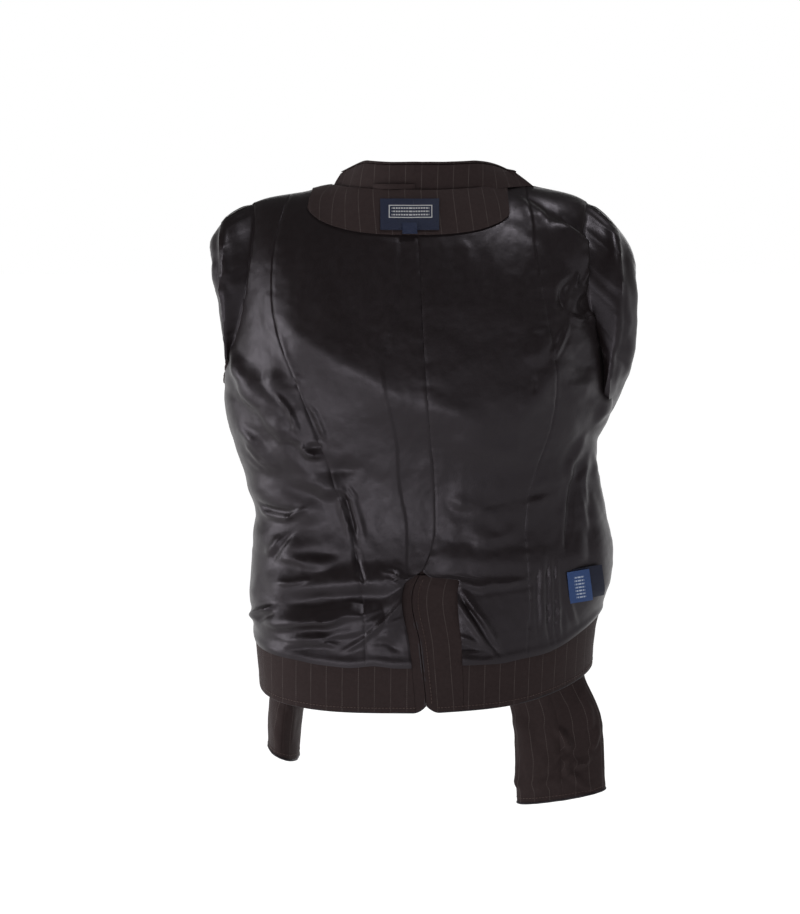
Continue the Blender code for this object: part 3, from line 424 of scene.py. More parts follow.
creasing = {"reach": 3.4, "trough": 0.16, "troughAt": 2.0, "taper": 0.3, "steep": 0.6, "flat": 0.4,
            "corners": 17, "narrowEnd": 0.6, "thinnest": 2.0, "stiffest": 0.15}


def creaseRise(x, z, rows):
    # what a table of creases adds to the cloth at each place of the front view
    total = np.zeros(x.shape)
    warpX = 3.4 * softNoise(x / 21.0, z / 17.0, 141) + 0.8 * softNoise(x / 8.0, z / 9.0, 143)
    warpZ = 3.2 * softNoise(x / 19.0, z / 23.0, 142) + 0.8 * softNoise(x / 9.0, z / 8.0, 145)
    strength = 0.85 + 0.35 * softNoise(x / 26.0, z / 26.0, 144)
    for x1, z1, xm, zm, x2, z2, half, rise, steep in rows:
        reach = creasing["reach"] * half
        box = ((x > min(x1, xm, x2) - reach) & (x < max(x1, xm, x2) + reach)
               & (z > min(z1, zm, z2) - reach) & (z < max(z1, zm, z2) + reach))
        if not box.any():
            continue
        stiff = creasing["stiffest"]
        loose = stiff + (1.0 - stiff) * ease((half - creasing["thinnest"]) / 3.5)
        px, pz = x[box] + loose * warpX[box], z[box] + loose * warpZ[box]
        t = fractions(creasing["corners"])
        cx, cz = 2 * xm - (x1 + x2) / 2, 2 * zm - (z1 + z2) / 2
        lineX = (1 - t) ** 2 * x1 + 2 * t * (1 - t) * cx + t * t * x2
        lineZ = (1 - t) ** 2 * z1 + 2 * t * (1 - t) * cz + t * t * z2
        best = np.full(px.shape, 1e9)
        signed, along = np.zeros(px.shape), np.zeros(px.shape)
        for k in range(len(t) - 1):
            dx, dz = lineX[k + 1] - lineX[k], lineZ[k + 1] - lineZ[k]
            near = np.clip(((px - lineX[k]) * dx + (pz - lineZ[k]) * dz) / (dx * dx + dz * dz), 0.0, 1.0)
            awayX, awayZ = px - lineX[k] - near * dx, pz - lineZ[k] - near * dz
            away = np.hypot(awayX, awayZ)
            closer = away < best
            best = np.where(closer, away, best)
            signed = np.where(closer, np.sign(dx * awayZ - dz * awayX) * away, signed)
            along = np.where(closer, t[k] + near * (t[1] - t[0]), along)
        taper = ease(along / creasing["taper"]) * ease((1.0 - along) / creasing["taper"])
        flank = np.where(signed > 0, 1.0 - creasing["steep"] * steep, 1.0 + creasing["flat"] * steep)
        narrow = creasing["narrowEnd"] + (1.0 - creasing["narrowEnd"]) * taper
        off = np.abs(signed) / (half * narrow * flank)
        trough = creasing["trough"] * np.exp(-(off - creasing["troughAt"]) ** 2)
        total[box] += rise * taper * (np.exp(-off * off) - trough)
    return total * strength


# The swell of the back, whose lower side faces the floor: a line across it, half width and rise.
swell = {"line": [(-215, -112), (-190, -135), (-115, -186), (-34, -232), (12, -244), (57, -262),
                  (100, -258), (150, -205), (190, -170)],
         "lower": 62.0, "upper": 95.0, "rise": 8.0, "round": 8.0, "left": -205.0, "right": 185.0}


def swellRise(x, z):
    line = np.array(swell["line"], float)
    below = z - np.interp(x, line[:, 0], line[:, 1])
    away = np.sqrt(below * below + swell["round"] ** 2) - swell["round"]
    near = np.clip(1.0 - away / np.where(below > 0, swell["upper"], swell["lower"]), 0.0, 1.0)
    sides = ease((x - swell["left"]) / 60.0) * ease((swell["right"] - x) / 70.0)
    return swell["rise"] * near * near * sides


def crumple(x, z, seed, amount=1.0):
    warp = softNoise(x / 45.0, z / 45.0, seed + 5)
    return amount * (0.6 * softNoise(x / 34.0 + warp, z / 27.0, seed)
                     + 0.30 * softNoise(x / 13.0, z / 15.0 + warp, seed + 1)
                     + 0.14 * softNoise(x / 5.5, z / 6.0, seed + 2))


def newMaterial(name, colour, roughness, **others):
    made = bpy.data.materials.new(name)
    made.use_nodes = True
    shader = made.node_tree.nodes["Principled BSDF"]
    for key, value in {"Base_Color": (*colour, 1.0), "Roughness": roughness, **others}.items():
        shader.inputs[key.replace("_", " ")].default_value = value
    return made, made.node_tree, shader


def isSocket(value):
    # a node's output to link, where another value is set as it is
    return isinstance(value, bpy.types.NodeSocket)


def addNode(tree, kind, inputs=(), **settings):
    node = tree.nodes.new("ShaderNode" + kind)
    for key, value in settings.items():
        setattr(node, key, value)
    for key, value in dict(inputs).items():
        if isSocket(value):
            tree.links.new(value, node.inputs[key])
        else:
            node.inputs[key].default_value = value
    return node


def mathNode(tree, operation, first, *others):
    for other in others or (0.0,):
        first = addNode(tree, "Math", {0: first, 1: other}, operation=operation).outputs[0]
    return first


def noiseOf(tree, place, scale, detail=2.0):
    return addNode(tree, "TexNoise", {"Vector": place, "Scale": scale, "Detail": detail}).outputs["Fac"]


def mapped(tree, value, low, high, toLow=0.0, toHigh=1.0):
    return addNode(tree, "MapRange", {"Value": value, "From Min": low, "From Max": high,
                                      "To Min": toLow, "To Max": toHigh}).outputs[0]


def colourBetween(tree, share, *ends):
    first, second = (end if isSocket(end) else (*end, 1.0) for end in ends)
    return addNode(tree, "Mix", {"Factor": share, 6: first, 7: second}, data_type="RGBA").outputs[2]


def clothMaterial(name, colours, roughness, patches, **others):
    # a base of two colours in soft patches, and what its weave is made with
    made, tree, shader = newMaterial(name, colours[0], roughness, **others)
    calc = partial(mathNode, tree)
    noise = partial(noiseOf, tree, addNode(tree, "TexCoord").outputs["Object"])
    cut = addNode(tree, "SeparateXYZ", {0: addNode(tree, "UVMap").outputs[0]}).outputs
    base = colourBetween(tree, noise(*patches), *colours)

    def finish(colour, height, strength, distance):
        bump = addNode(tree, "Bump", {"Height": height, "Strength": strength, "Distance": distance})
        tree.links.new(bump.outputs[0], shader.inputs["Normal"])
        tree.links.new(colour, shader.inputs["Base Color"])
        return made

    return tree, shader, calc, noise, cut, base, finish


def satinCloth(name, dark, light, roughness):
    tree, shader, calc, noise, cut, base, finish = clothMaterial(
        name, (dark, light), roughness, (55.0, 4.0), Specular_IOR_Level=0.42, Sheen_Weight=0.02,
        Sheen_Roughness=0.45, Specular_Tint=(0.95, 0.88, 1.0, 1.0))
    rough = mapped(tree, noise(130.0, 3.0), 0.3, 0.7, roughness - 0.03, roughness + 0.05)
    tree.links.new(rough, shader.inputs["Roughness"])
    threads = calc("ADD", calc("MULTIPLY", cut[0], 3200.0), calc("MULTIPLY", cut[1], 1400.0))
    weft = calc("MULTIPLY", calc("SINE", threads), 0.12)
    grain = calc("ADD", weft, noise(900.0), calc("MULTIPLY", noise(260.0, 3.0), 1.6))
    return finish(base, grain, 0.22, 0.0003)


def stripedTwill(name, dark, light, stripe, spacing=0.019, width=0.00075, turned=False):
    redTint = (1.0, 0.80, 0.80, 1.0)
    tree, _, calc, noise, cut, base, finish = clothMaterial(
        name, (dark, light), 0.72, (260.0, 4.0), Specular_IOR_Level=0.22, Sheen_Weight=0.05,
        Sheen_Roughness=0.5, Sheen_Tint=redTint, Specular_Tint=redTint)
    across, down = (cut[1], cut[0]) if turned else (cut[0], cut[1])
    waver = calc("MULTIPLY", noise(35.0), 0.0006)
    turns = calc("DIVIDE", calc("ADD", across, waver), spacing)
    offLine = calc("ABSOLUTE", calc("SUBTRACT", calc("FRACT", turns), 0.5))
    line = mapped(tree, offLine, 0.9 * width / spacing, 0.35 * width / spacing)
    dash = mapped(tree, calc("FRACT", calc("MULTIPLY", down, 420.0)), 0.62, 0.74, 1.0, 0.25)
    fade = mapped(tree, noise(90.0), 0.3, 0.6, 0.45, 1.0)
    marked = calc("MULTIPLY", line, dash, fade)
    ribs = calc("SINE", calc("ADD", calc("MULTIPLY", across, 6600.0), calc("MULTIPLY", down, 6600.0)))
    height = calc("ADD", calc("MULTIPLY", ribs, 0.35), noise(1500.0))
    return finish(colourBetween(tree, marked, base, stripe), height, 0.30, 0.0003)


def wovenRibbon(name, dark, light, panel=None):
    tree, _, calc, noise, cut, base, finish = clothMaterial(
        name, (dark, light), 0.6, (700.0,), Specular_IOR_Level=0.3, Sheen_Weight=0.08)
    if panel:
        across = calc("ABSOLUTE", cut[0])
        up = calc("ABSOLUTE", calc("SUBTRACT", cut[1], panel["middle"]))

        def within(frames, framesUp):
            return calc("MULTIPLY", calc("LESS_THAN", across, panel["halfWide"] - frames * panel["frame"]),
                        calc("LESS_THAN", up, panel["halfTall"] - framesUp * panel["frame"]))

        ring = calc("SUBTRACT", within(0.0, 0.0), within(1.0, 1.0))
        bars = calc("LESS_THAN", calc("PINGPONG", up, 0.0021), 0.00095)
        dashes = calc("LESS_THAN", calc("FRACT", calc("MULTIPLY", across, 330.0)), 0.7)
        inside = calc("ADD", ring, calc("MULTIPLY", bars, dashes, within(3.2, 2.6)))
        shine = colourBetween(tree, noise(900.0), panel["dark"], panel["light"])
        base = colourBetween(tree, inside, base, shine)
    weave = calc("MULTIPLY", *(calc("SINE", calc("MULTIPLY", cut[way], 9000.0)) for way in (0, 1)))
    return finish(base, weave, 0.25, 0.0003)


def spunThread(name, dark, light):
    *_, noise, _, base, finish = clothMaterial(name, (dark, light), 0.6, (400.0,), Sheen_Weight=0.2)
    return finish(base, noise(2500.0), 0.3, 0.0002)


satin = satinCloth("liningSatin", (0.0078, 0.0052, 0.0052), (0.0115, 0.0080, 0.0082), 0.385)
bindingSatin = satinCloth("bindingSatin", (0.007, 0.006, 0.006), (0.012, 0.010, 0.010), 0.45)
twillColours = (0.0185, 0.0122, 0.0122), (0.0300, 0.0205, 0.0205), (0.066, 0.054, 0.052)
twill = stripedTwill("pinstripeTwill", *twillColours)
turnedTwill = stripedTwill("crosswiseTwill", *twillColours, turned=True)
labelRibbon = wovenRibbon("labelRibbon", (0.006, 0.009, 0.026), (0.012, 0.018, 0.048), {
    "middle": 0.0235, "halfWide": 0.0255, "halfTall": 0.0082, "frame": 0.0011,
    "dark": (0.34, 0.34, 0.36), "light": (0.62, 0.62, 0.64)})
tabRibbon = wovenRibbon("tabRibbon", (0.008, 0.013, 0.038), (0.016, 0.024, 0.062))
careRibbon = wovenRibbon("careRibbon", (0.020, 0.050, 0.155), (0.036, 0.080, 0.23), {
    "middle": 0.019, "halfWide": 0.0065, "halfTall": 0.0135, "frame": 0.0,
    "dark": (0.30, 0.36, 0.48), "light": (0.50, 0.56, 0.68)})
careRibbonUnder = wovenRibbon("careRibbonUnder", (0.006, 0.008, 0.022), (0.010, 0.013, 0.034))
seamThread = spunThread("seamThread", (0.046, 0.021, 0.015), (0.082, 0.040, 0.028))
print("materials made")


thickness = {"satin": 0.35, "twill": 0.8}
made = {}


def pieceName(node):
    words = node.split("_")
    return words[0] + "".join(word.capitalize() for word in words[1:])


def makeSheet(name, points, outs, thick, coat, closed=False):
    # a grid of points made into a sheet of cloth, whose visible side faces outs
    outs = np.broadcast_to(outs, points.shape)
    if closed:
        points = np.concatenate([points, points[:, :1]], axis=1)
        outs = np.concatenate([outs, outs[:, :1]], axis=1)
    faces = np.cross(np.diff(points, axis=1)[:-1], np.diff(points, axis=0)[:, :-1])
    if np.sum(faces * outs[:-1, :-1]) < 0:
        points = points[:, ::-1]
    rows, columns = points.shape[:2]
    bpy.ops.object.select_all(action="DESELECT")
    bpy.ops.mesh.primitive_grid_add(x_subdivisions=columns - 1, y_subdivisions=rows - 1, size=1.0)
    item = bpy.context.object
    item.name = item.data.name = pieceName(name)
    mesh = item.data
    if len(mesh.vertices) != rows * columns:
        raise RuntimeError(name + " has an unexpected grid")
    mesh.vertices.foreach_set("co", (points * mm).reshape(-1))
    middle = columns // 2
    walk, up = walked(points), walked(points[:, middle])
    uv = np.stack([walk - walk[:, middle:middle + 1], np.repeat(up[:, None], columns, axis=1)], axis=-1)
    corners = np.empty(len(mesh.loops), dtype=np.int32)
    mesh.loops.foreach_get("vertex_index", corners)
    uv = (uv.reshape(-1, 2)[corners] * mm).astype(np.float32)
    mesh.uv_layers[0].data.foreach_set("uv", uv.reshape(-1))
    mesh.update()
    if closed:
        welded = bmesh.new()
        welded.from_mesh(mesh)
        bmesh.ops.remove_doubles(welded, verts=welded.verts, dist=0.00001)
        welded.to_mesh(mesh)
        welded.free()
    shell = item.modifiers.new("thickness", "SOLIDIFY")
    shell.thickness = thick * mm
    shell.offset = -1.0
    bpy.ops.object.modifier_apply(modifier=shell.name)
    bpy.ops.object.shade_smooth_by_angle(angle=math.radians(50))
    item.data.materials.append(coat)
    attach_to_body(item, "root")
    made[name] = item


def clothOn(name, points, normals, face, coat=twill, inward=False):
    # a sheet that stands off the body's surface by face
    makeSheet(name, points + normals * face[..., None], -normals if inward else normals,
              thickness["satin" if coat is satin else "twill"], coat)


def joinedSheet(name, half):
    # one sheet of a left and a right half that meet at the centre back
    points, normals = (np.concatenate([left[:, ::-1], right[:, 1:]], axis=1)
                       for left, right in zip(half(-1), half(1)))
    makeSheet(name, points, normals, thickness["twill"], twill)


def addObject(name, data):
    item = bpy.data.objects.new(name, data)
    bpy.context.collection.objects.link(item)
    return item


def finishPiece(name, built, coat):
    mesh = bpy.data.meshes.new(pieceName(name))
    built.to_mesh(mesh)
    built.free()
    mesh.shade_smooth()
    mesh.materials.append(coat)
    item = addObject(mesh.name, mesh)
    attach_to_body(item, "root")
    return item


def ringsRound(centres, wide, deep, halfWide, halfDeep, sides):
    # an ellipse of points round each centre
    turns = np.linspace(0.0, 2 * math.pi, sides, endpoint=False)
    return (centres[:, None] + wide[:, None] * (halfWide * np.cos(turns))[None, :, None]
            + deep[:, None] * (halfDeep * np.sin(turns))[None, :, None])


def makeTube(name, path, wide, deep, halfWide, halfDeep, coat, closed=False, sides=10):
    # an elliptical strip along path; wide and deep are its two directions at each point
    points = ringsRound(path, wide, deep, halfWide, halfDeep, sides)
    rows = len(points)
    strip = bmesh.new()
    verts = [[strip.verts.new(p * mm) for p in line] for line in points]
    for i in range(rows if closed else rows - 1):
        k = (i + 1) % rows
        for j in range(sides):
            n = (j + 1) % sides
            strip.faces.new((verts[i][j], verts[i][n], verts[k][n], verts[k][j]))
    if not closed:
        strip.faces.new(verts[0])
        strip.faces.new(verts[-1][::-1])
    bmesh.ops.recalc_face_normals(strip, faces=strip.faces)
    layer = strip.loops.layers.uv.new("UVMap")
    walk = walked(path)
    strip.verts.index_update()
    for face in strip.faces:
        for loop in face.loops:
            row, column = divmod(loop.vert.index, sides)
            loop[layer].uv = (walk[row] * mm, column * halfDeep * 6.0 / sides * mm)
    return finishPiece(name, strip, coat)


# A stitch's rings from end to end: place, size and lift.
stitchRings = ((0.0, 0.45, -0.10), (0.12, 0.95, 0.18), (0.5, 1.0, 0.30), (0.88, 0.95, 0.18),
               (1.0, 0.45, -0.10))


def makeStitches(name, starts, ends, outs, coat, radius=0.28, sides=6):
    # one joined mesh of small capsules, each between a start and an end on the cloth
    wide = unit(np.cross(unit(ends - starts), outs))
    points = np.stack([ringsRound(starts + (ends - starts) * part + outs * lift, wide, outs, size * radius,
                                  size * radius, sides) for part, size, lift in stitchRings], axis=1)
    size = len(stitchRings) * sides
    faces = []
    for base in range(0, len(starts) * size, size):
        for ring in range(base, base + size - sides, sides):
            for j in range(sides):
                k = (j + 1) % sides
                faces.append((ring + j, ring + sides + j, ring + sides + k, ring + k))
        faces.append(tuple(base + j for j in range(sides)))
        faces.append(tuple(base + size - 1 - j for j in range(sides)))
    rough = bpy.data.meshes.new("rough")
    rough.from_pydata((points * mm).reshape(-1, 3).tolist(), [], faces)
    capsules = bmesh.new()
    capsules.from_mesh(rough)
    bpy.data.meshes.remove(rough)
    bmesh.ops.recalc_face_normals(capsules, faces=capsules.faces)
    return finishPiece(name, capsules, coat)


def between(first, last, count):
    # rows of evenly spaced places from first to last, which are arrays of one value a row
    t = fractions(count)[None, :]
    return np.asarray(first)[:, None] * (1.0 - t) + np.asarray(last)[:, None] * t


def rowHeight(side, share, rise):
    low = hemHeight(side, share)
    return low + (topPoint(side, share)[2] - low) * rise


def hemLength(side):
    return float(sectionLength(side, bodyCut["hemLevel"]))


armhole = {"middle": -122.5, "half": 102.5, "halfDeep": 52.0, "inset": 2.4}


def armholeShare(side, rise, turn, wider=0.0, taller=0.0):
    # the armhole's edge on the side of the centre back, turn -1, or of the front, turn 1
    height = rowHeight(side, 1.0, rise)
    across = np.clip((height - armhole["middle"]) / (armhole["half"] + taller), -1.0, 1.0)
    opening = (armhole["halfDeep"] + wider) * np.sqrt(1.0 - across * across)
    return 1.0 + turn * opening / sectionLength(side, height, "front" if turn < 0 else "rear")


def seamGap(side, rise, turn=-1, space=0.2):
    # a space at a seam as a share of the way round
    height = rowHeight(side, 0.8, rise)
    return space / sectionLength(side, height, "front" if turn < 0 else "rear")


outerCloth = {"face": -2.65, "wave": 0.45, "step": 5.5, "seam": 0.01, "columns": 30, "frontColumns": 48}


def outerPanel(name, side, shares, rises):
    points, normals = onBody(side, shares, rises[:, None])
    edge = ease(np.minimum(rises, 1.0 - rises) * 12.0)[:, None]
    wave = outerCloth["wave"] * softNoise(points[..., 0] / 40.0, points[..., 2] / 38.0, 21 + side) * edge
    clothOn(name + sideName(side), points, normals, outerCloth["face"] + wave, inward=True)


def makeOuterCloth(side):
    rises = riseSteps(outerCloth["step"])
    shift = seamGap(side, rises, space=outerCloth["seam"])
    seam, edge = seamShare(side, rises), np.full(len(rises), frontEdge)
    columns = outerCloth["columns"]
    outerPanel("back_", side, between(shift, seam - shift, columns), rises)
    outerPanel("side_", side, between(seam + shift, armholeShare(side, rises, -1) - shift, columns), rises)
    front = armholeShare(side, rises, 1) + seamGap(side, rises, 1)
    outerPanel("front_", side, between(front, edge, outerCloth["frontColumns"]), rises)


for side in (-1, 1):
    makeOuterCloth(side)
print("outer cloth made")


lining = {"edge": 53.9, "waver": 1.6, "lap": 1.8, "ease": 1.7, "satin": 1.0, "step": 2.15, "frontStep": 3.6,
          "length": 550.0, "ventFacing": {-1: 13.0, 1: 42.0}, "sideLift": {-1: 0.0, 1: 13.0}, "pleat": 1.2,
          "hole": (2.0, 2.0), "roll": 1.5, "pucker": 0.45, "sewn": 0.8, "columns": 68, "frontColumns": 48}
pleatLine = {"columns": "height x", "rows": [(-446, -26), (-375, -28), (-345, -34), (-285, -38),
                                             (-200, -53), (-128, -38), (-60, -36)]}
pleatAt = tableLines(pleatLine)["x"]
neckFacing = {"half": {-1: 150.0, 1: 112.0}, "depth": 52.0, "power": 2.5, "reach": 0.8, "above": 2.1,
              "wave": 0.35, "columns": 90, "rows": 36}


def sideLift(side, share):
    # the lining's edge climbs towards the side
    return lining["sideLift"][side] * ease((share - 0.55) / 0.4) * ease((1.5 - share) / 0.4)


def liningLow(side, share):
    waver = lining["waver"] * softNoise(share * 9.0, np.full(np.shape(share), 3.0 + side), 51)
    return riseAt(side, share, hemHeight(side, share) + lining["edge"] + waver + sideLift(side, share))


def neckFoot(side, share):
    x = np.abs(sectionPoint(side, share, np.full(np.shape(share), -40.0))[0]) / neckFacing["half"][side]
    power = neckFacing["power"]
    return -neckFacing["depth"] * np.maximum(0.01, 1.0 - np.minimum(x, 1.0) ** power) ** (1.0 / power)


def liningStand(side, share, rise):
    low = liningLow(side, share)
    part = (rise - low) / (1.0 - low)
    within = np.minimum(part, 1.0 - part)
    stand = lining["lap"] + lining["ease"] * ease(within * 8.0)
    point = bodyPoint(side, share, rise)
    lifted = broadRise(point[..., 0], point[..., 2]) * ease(within * 10.0)
    return stand + np.where(share < bodyCut["sideLine"], lifted, 0.0)


def liningFace(side, share, rise, edges=None):
    # how far the lining's visible face stands off the body's surface, creases and seams included
    point = bodyPoint(side, share, rise)
    x, z = point[..., 0], point[..., 2]
    low = liningLow(side, share)
    part = (rise - low) / (1.0 - low)
    quiet = ease(part * 25.0) * ease((1.0 - part) * 14.0)
    inside = ease((0.84 * seamShare(side, rise) - share) / 0.03)
    quiet = quiet * (1.0 - inside * ease((z - neckFoot(side, share) + 9.0) / 7.0))
    front = share < bodyCut["sideLine"]
    shape = np.where(front, creaseRise(x, z, creases["body"]) + swellRise(x, z), 0.0)
    if not front.all():
        shape = shape + np.where(front, 0.0, creaseRise(x, z, creases["rear"]))
    pleat = np.where(front, lining["pleat"] * (1.0 - ease((x - pleatAt(z)) / 1.8 + 0.5))
                     * ease((x - pleatAt(z) + 34.0) / 26.0) * ease((z + 452.0) / 20.0), 0.0)
    stand = liningStand(side, share, rise) + lining["satin"]
    stand = stand + (shape + pleat + crumple(x, z, 31 + side)) * quiet
    stand = stand + lining["roll"] * np.exp(-((part * 540.0 - 6.0) / 5.0) ** 2)
    if edges is not None:
        pucker = softNoise(z / 6.5, edges * 0.02 + side, 44) * lining["pucker"] * np.exp(-edges / 7.0)
        stand = stand - lining["sewn"] * (1.0 - ease(edges / 2.4)) * ease(part * 30.0) + pucker * quiet
    return np.maximum(stand, np.where(part < 0.03, 2.6, 0.9))


def liningPanel(name, side, shares, rows):
    low = liningLow(side, shares)
    rises = low + (1.0 - low) * rows[:, None]
    points, normals = onBody(side, shares, rises)
    walk = walked(points)
    face = liningFace(side, shares, rises, np.minimum(walk, walk[:, -1:] - walk))
    clothOn(name + sideName(side), points, normals, face, satin)


def liningHole(side, rise, turn):
    return armholeShare(side, rise, turn, *lining["hole"])


def ventShare(side, rise):
    height = rowHeight(side, 0.05, rise)
    beside = (lining["ventFacing"][side] + 0.2) / sectionLength(side, height)
    opened = ease((bodyCut["ventTop"] + 1.0 - height) / bodyCut["ventStep"])
    return np.maximum(seamGap(side, rise, space=outerCloth["seam"]), beside * opened)


def makeLining(side):
    base = liningLow(side, np.array(0.6))
    steps = riseSteps(lining["step"], lining["length"])
    rises = base + (1.0 - base) * steps
    shift = seamGap(side, rises, space=outerCloth["seam"])
    seam = seamShare(side, rises)
    columns, hole = lining["columns"], liningHole(side, rises, -1)
    liningPanel("back_lining_", side, between(ventShare(side, rises), seam - shift, columns), steps)
    liningPanel("side_lining_", side, between(seam + shift, hole - shift, columns), steps)
    steps = riseSteps(lining["frontStep"], lining["length"])
    rises = base + (1.0 - base) * steps
    first = liningHole(side, rises, 1) + seamGap(side, rises, 1)
    last = np.full(len(rises), facingEdge - 0.001)
    liningPanel("front_lining_", side, between(first, last, lining["frontColumns"]), steps)


for side in (-1, 1):
    makeLining(side)
print("lining made")


facing = {"face": 2.1, "band": 57.0, "foot": 0.6, "gap": 0.4, "step": 3.8, "stitchIn": 6.3,
          "bandRows": 32, "backColumns": 110, "frontColumns": 80, "ventRows": 90, "columns": 24}


def facingFace(points):
    x, z = points[..., 0], points[..., 2]
    wave = 0.30 * softNoise(x / 22.0, z / 18.0, 61) + 0.15 * softNoise(x / 8.0, z / 8.0, 62)
    return facing["face"] + wave


def facingSheet(name, side, shares, rises):
    points, normals = onBody(side, *np.broadcast_arrays(shares, rises))
    clothOn(name + sideName(side), points, normals, facingFace(points))


def hemStrip(name, side, first, last, columns):
    shares = np.linspace(first, last, columns)[None, :]
    part = fractions(facing["bandRows"])[:, None]
    heights = (hemHeight(side, shares) + facing["foot"]
               + (facing["band"] - facing["foot"] + sideLift(side, shares)) * part)
    facingSheet(name, side, shares, riseAt(side, shares, heights))


def makeFacings(side):
    wide, gap = lining["ventFacing"][side], facing["gap"] / hemLength(side)
    ventEdge = wide / hemLength(side)
    shares = np.linspace(gap, ventEdge, max(8, int(wide / 1.6)))[None, :]
    foot = hemHeight(side, shares) + facing["foot"]
    heights = foot + (bodyCut["ventTop"] - foot) * fractions(facing["ventRows"])[:, None]
    facingSheet("vent_facing_", side, shares, riseAt(side, shares, heights))
    hemStrip("hem_facing_back_", side, ventEdge + gap, 0.999, facing["backColumns"])
    hemStrip("hem_facing_front_", side, 1.001, facingEdge - 0.003, facing["frontColumns"])
    shares = np.linspace(facingEdge + 0.002, frontEdge, facing["columns"])[None, :]
    facingSheet("front_facing_", side, shares, riseSteps(facing["step"])[:, None])


for side in (-1, 1):
    makeFacings(side)


ventLap = {"half": 11.0, "behind": 2.6, "foot": 2.5, "above": 12.0, "columns": 12, "rows": 60}


def ventLapHalf(side):
    # the part of the vent that passes behind one flap
    share = np.linspace(0.0, ventLap["half"] / hemLength(side), ventLap["columns"])[None, :]
    foot = hemHeight(side, share) + ventLap["foot"]
    part = fractions(ventLap["rows"])[:, None]
    heights = foot + (bodyCut["ventTop"] + ventLap["above"] - foot) * part
    points, normals = onBody(side, share, riseAt(side, share, heights))
    return points - normals * ventLap["behind"], normals


def neckFacingHalf(side):
    steps = 1.0 - (1.0 - fractions(neckFacing["rows"])) ** 1.3
    across = np.linspace(0.0, neckFacing["reach"], neckFacing["columns"])[None, :]
    share = across * seamShare(side, 0.97 + 0.03 * steps)[:, None]
    foot = np.minimum(riseAt(side, share, neckFoot(side, share)), 0.995)
    rises = foot + (1.0 - foot) * steps[:, None]
    points, normals = onBody(side, share, rises)
    wave = neckFacing["wave"] * softNoise(points[..., 0] / 26.0, points[..., 2] / 20.0, 71)
    face = liningStand(side, share, rises) + lining["satin"] + neckFacing["above"] + wave
    return points + normals * face[..., None], normals


joinedSheet("vent_lap", ventLapHalf)
joinedSheet("neck_facing", neckFacingHalf)


lapel = {"wide": 58.0, "least": 6.0, "gap": 2.0, "lean": -3.4, "space": 4.4, "rolled": 3.5, "wave": 0.4,
         "rows": 110, "columns": 28, "start": 0.15, "length": 0.83}


def makeLapel(side):
    down = (lapel["start"] + lapel["length"] * fractions(lapel["rows"]))[:, None]
    across = fractions(lapel["columns"])[None, :]
    first = rearNeck + 0.03
    edge = first + (frontEdge - first) * down
    height = topPoint(side, edge)[2] - 1.0
    taper = (0.55 + 0.45 * np.sin(math.pi * np.minimum(down * 1.5, 1.0))) * ease(4.4 * (1.03 - down))
    width = np.maximum(lapel["wide"] * taper, lapel["least"])
    share = edge - (lapel["gap"] + width * across) / sectionLength(side, height, "rear")
    points, normals = onBody(side, share, np.minimum(riseAt(side, share, height - 3.0), 0.99))
    space = lapel["space"] - lapel["rolled"] * ease(1.0 - 4.0 * across) * ease((down - 0.7) / 0.06)
    wave = lapel["wave"] * softNoise(points[..., 0] / 24.0, points[..., 2] / 24.0, 81 + side)
    clothOn("lapel_" + sideName(side), points, normals, lapel["lean"] - space - np.abs(wave), inward=True)


for side in (-1, 1):
    makeLapel(side)
print("facings made")


collar = {"tall": 31.0, "fall": 44.0, "lean": 3.0, "sideLean": {-1: 15.0, 1: -6.0}, "spread": 23.0,
          "columns": 200, "standRows": 18, "fallRows": 34, "fallThick": 1.0}


def collarBase(place):
    # the collar's foot, its height and its lean at places from -1 to 1 round the neck
    away = np.abs(place)
    share = np.where(away <= 0.70, neckSeam * away / 0.70,
                     rearNeck + 0.045 * (away - 0.70) / 0.30)
    base = np.where((place < 0)[:, None], bodyPoint(-1, share, 1.0), bodyPoint(1, share, 1.0))
    flat = unit(np.stack([base[:, 0], base[:, 1] - 12.0, np.zeros_like(place)], axis=-1))
    tall = collar["tall"] * (1.0 - 0.75 * ease((away - 0.42) / 0.5))
    side = np.where(place < 0, collar["sideLean"][-1], collar["sideLean"][1])
    lean = collar["lean"] + side * ease((away - 0.2) / 0.5)
    spread = collar["spread"] * (place >= 0) * ease((away - 0.4) / 0.3) * ease((1.0 - away) / 0.2)
    return away, base, flat, tall, lean, spread


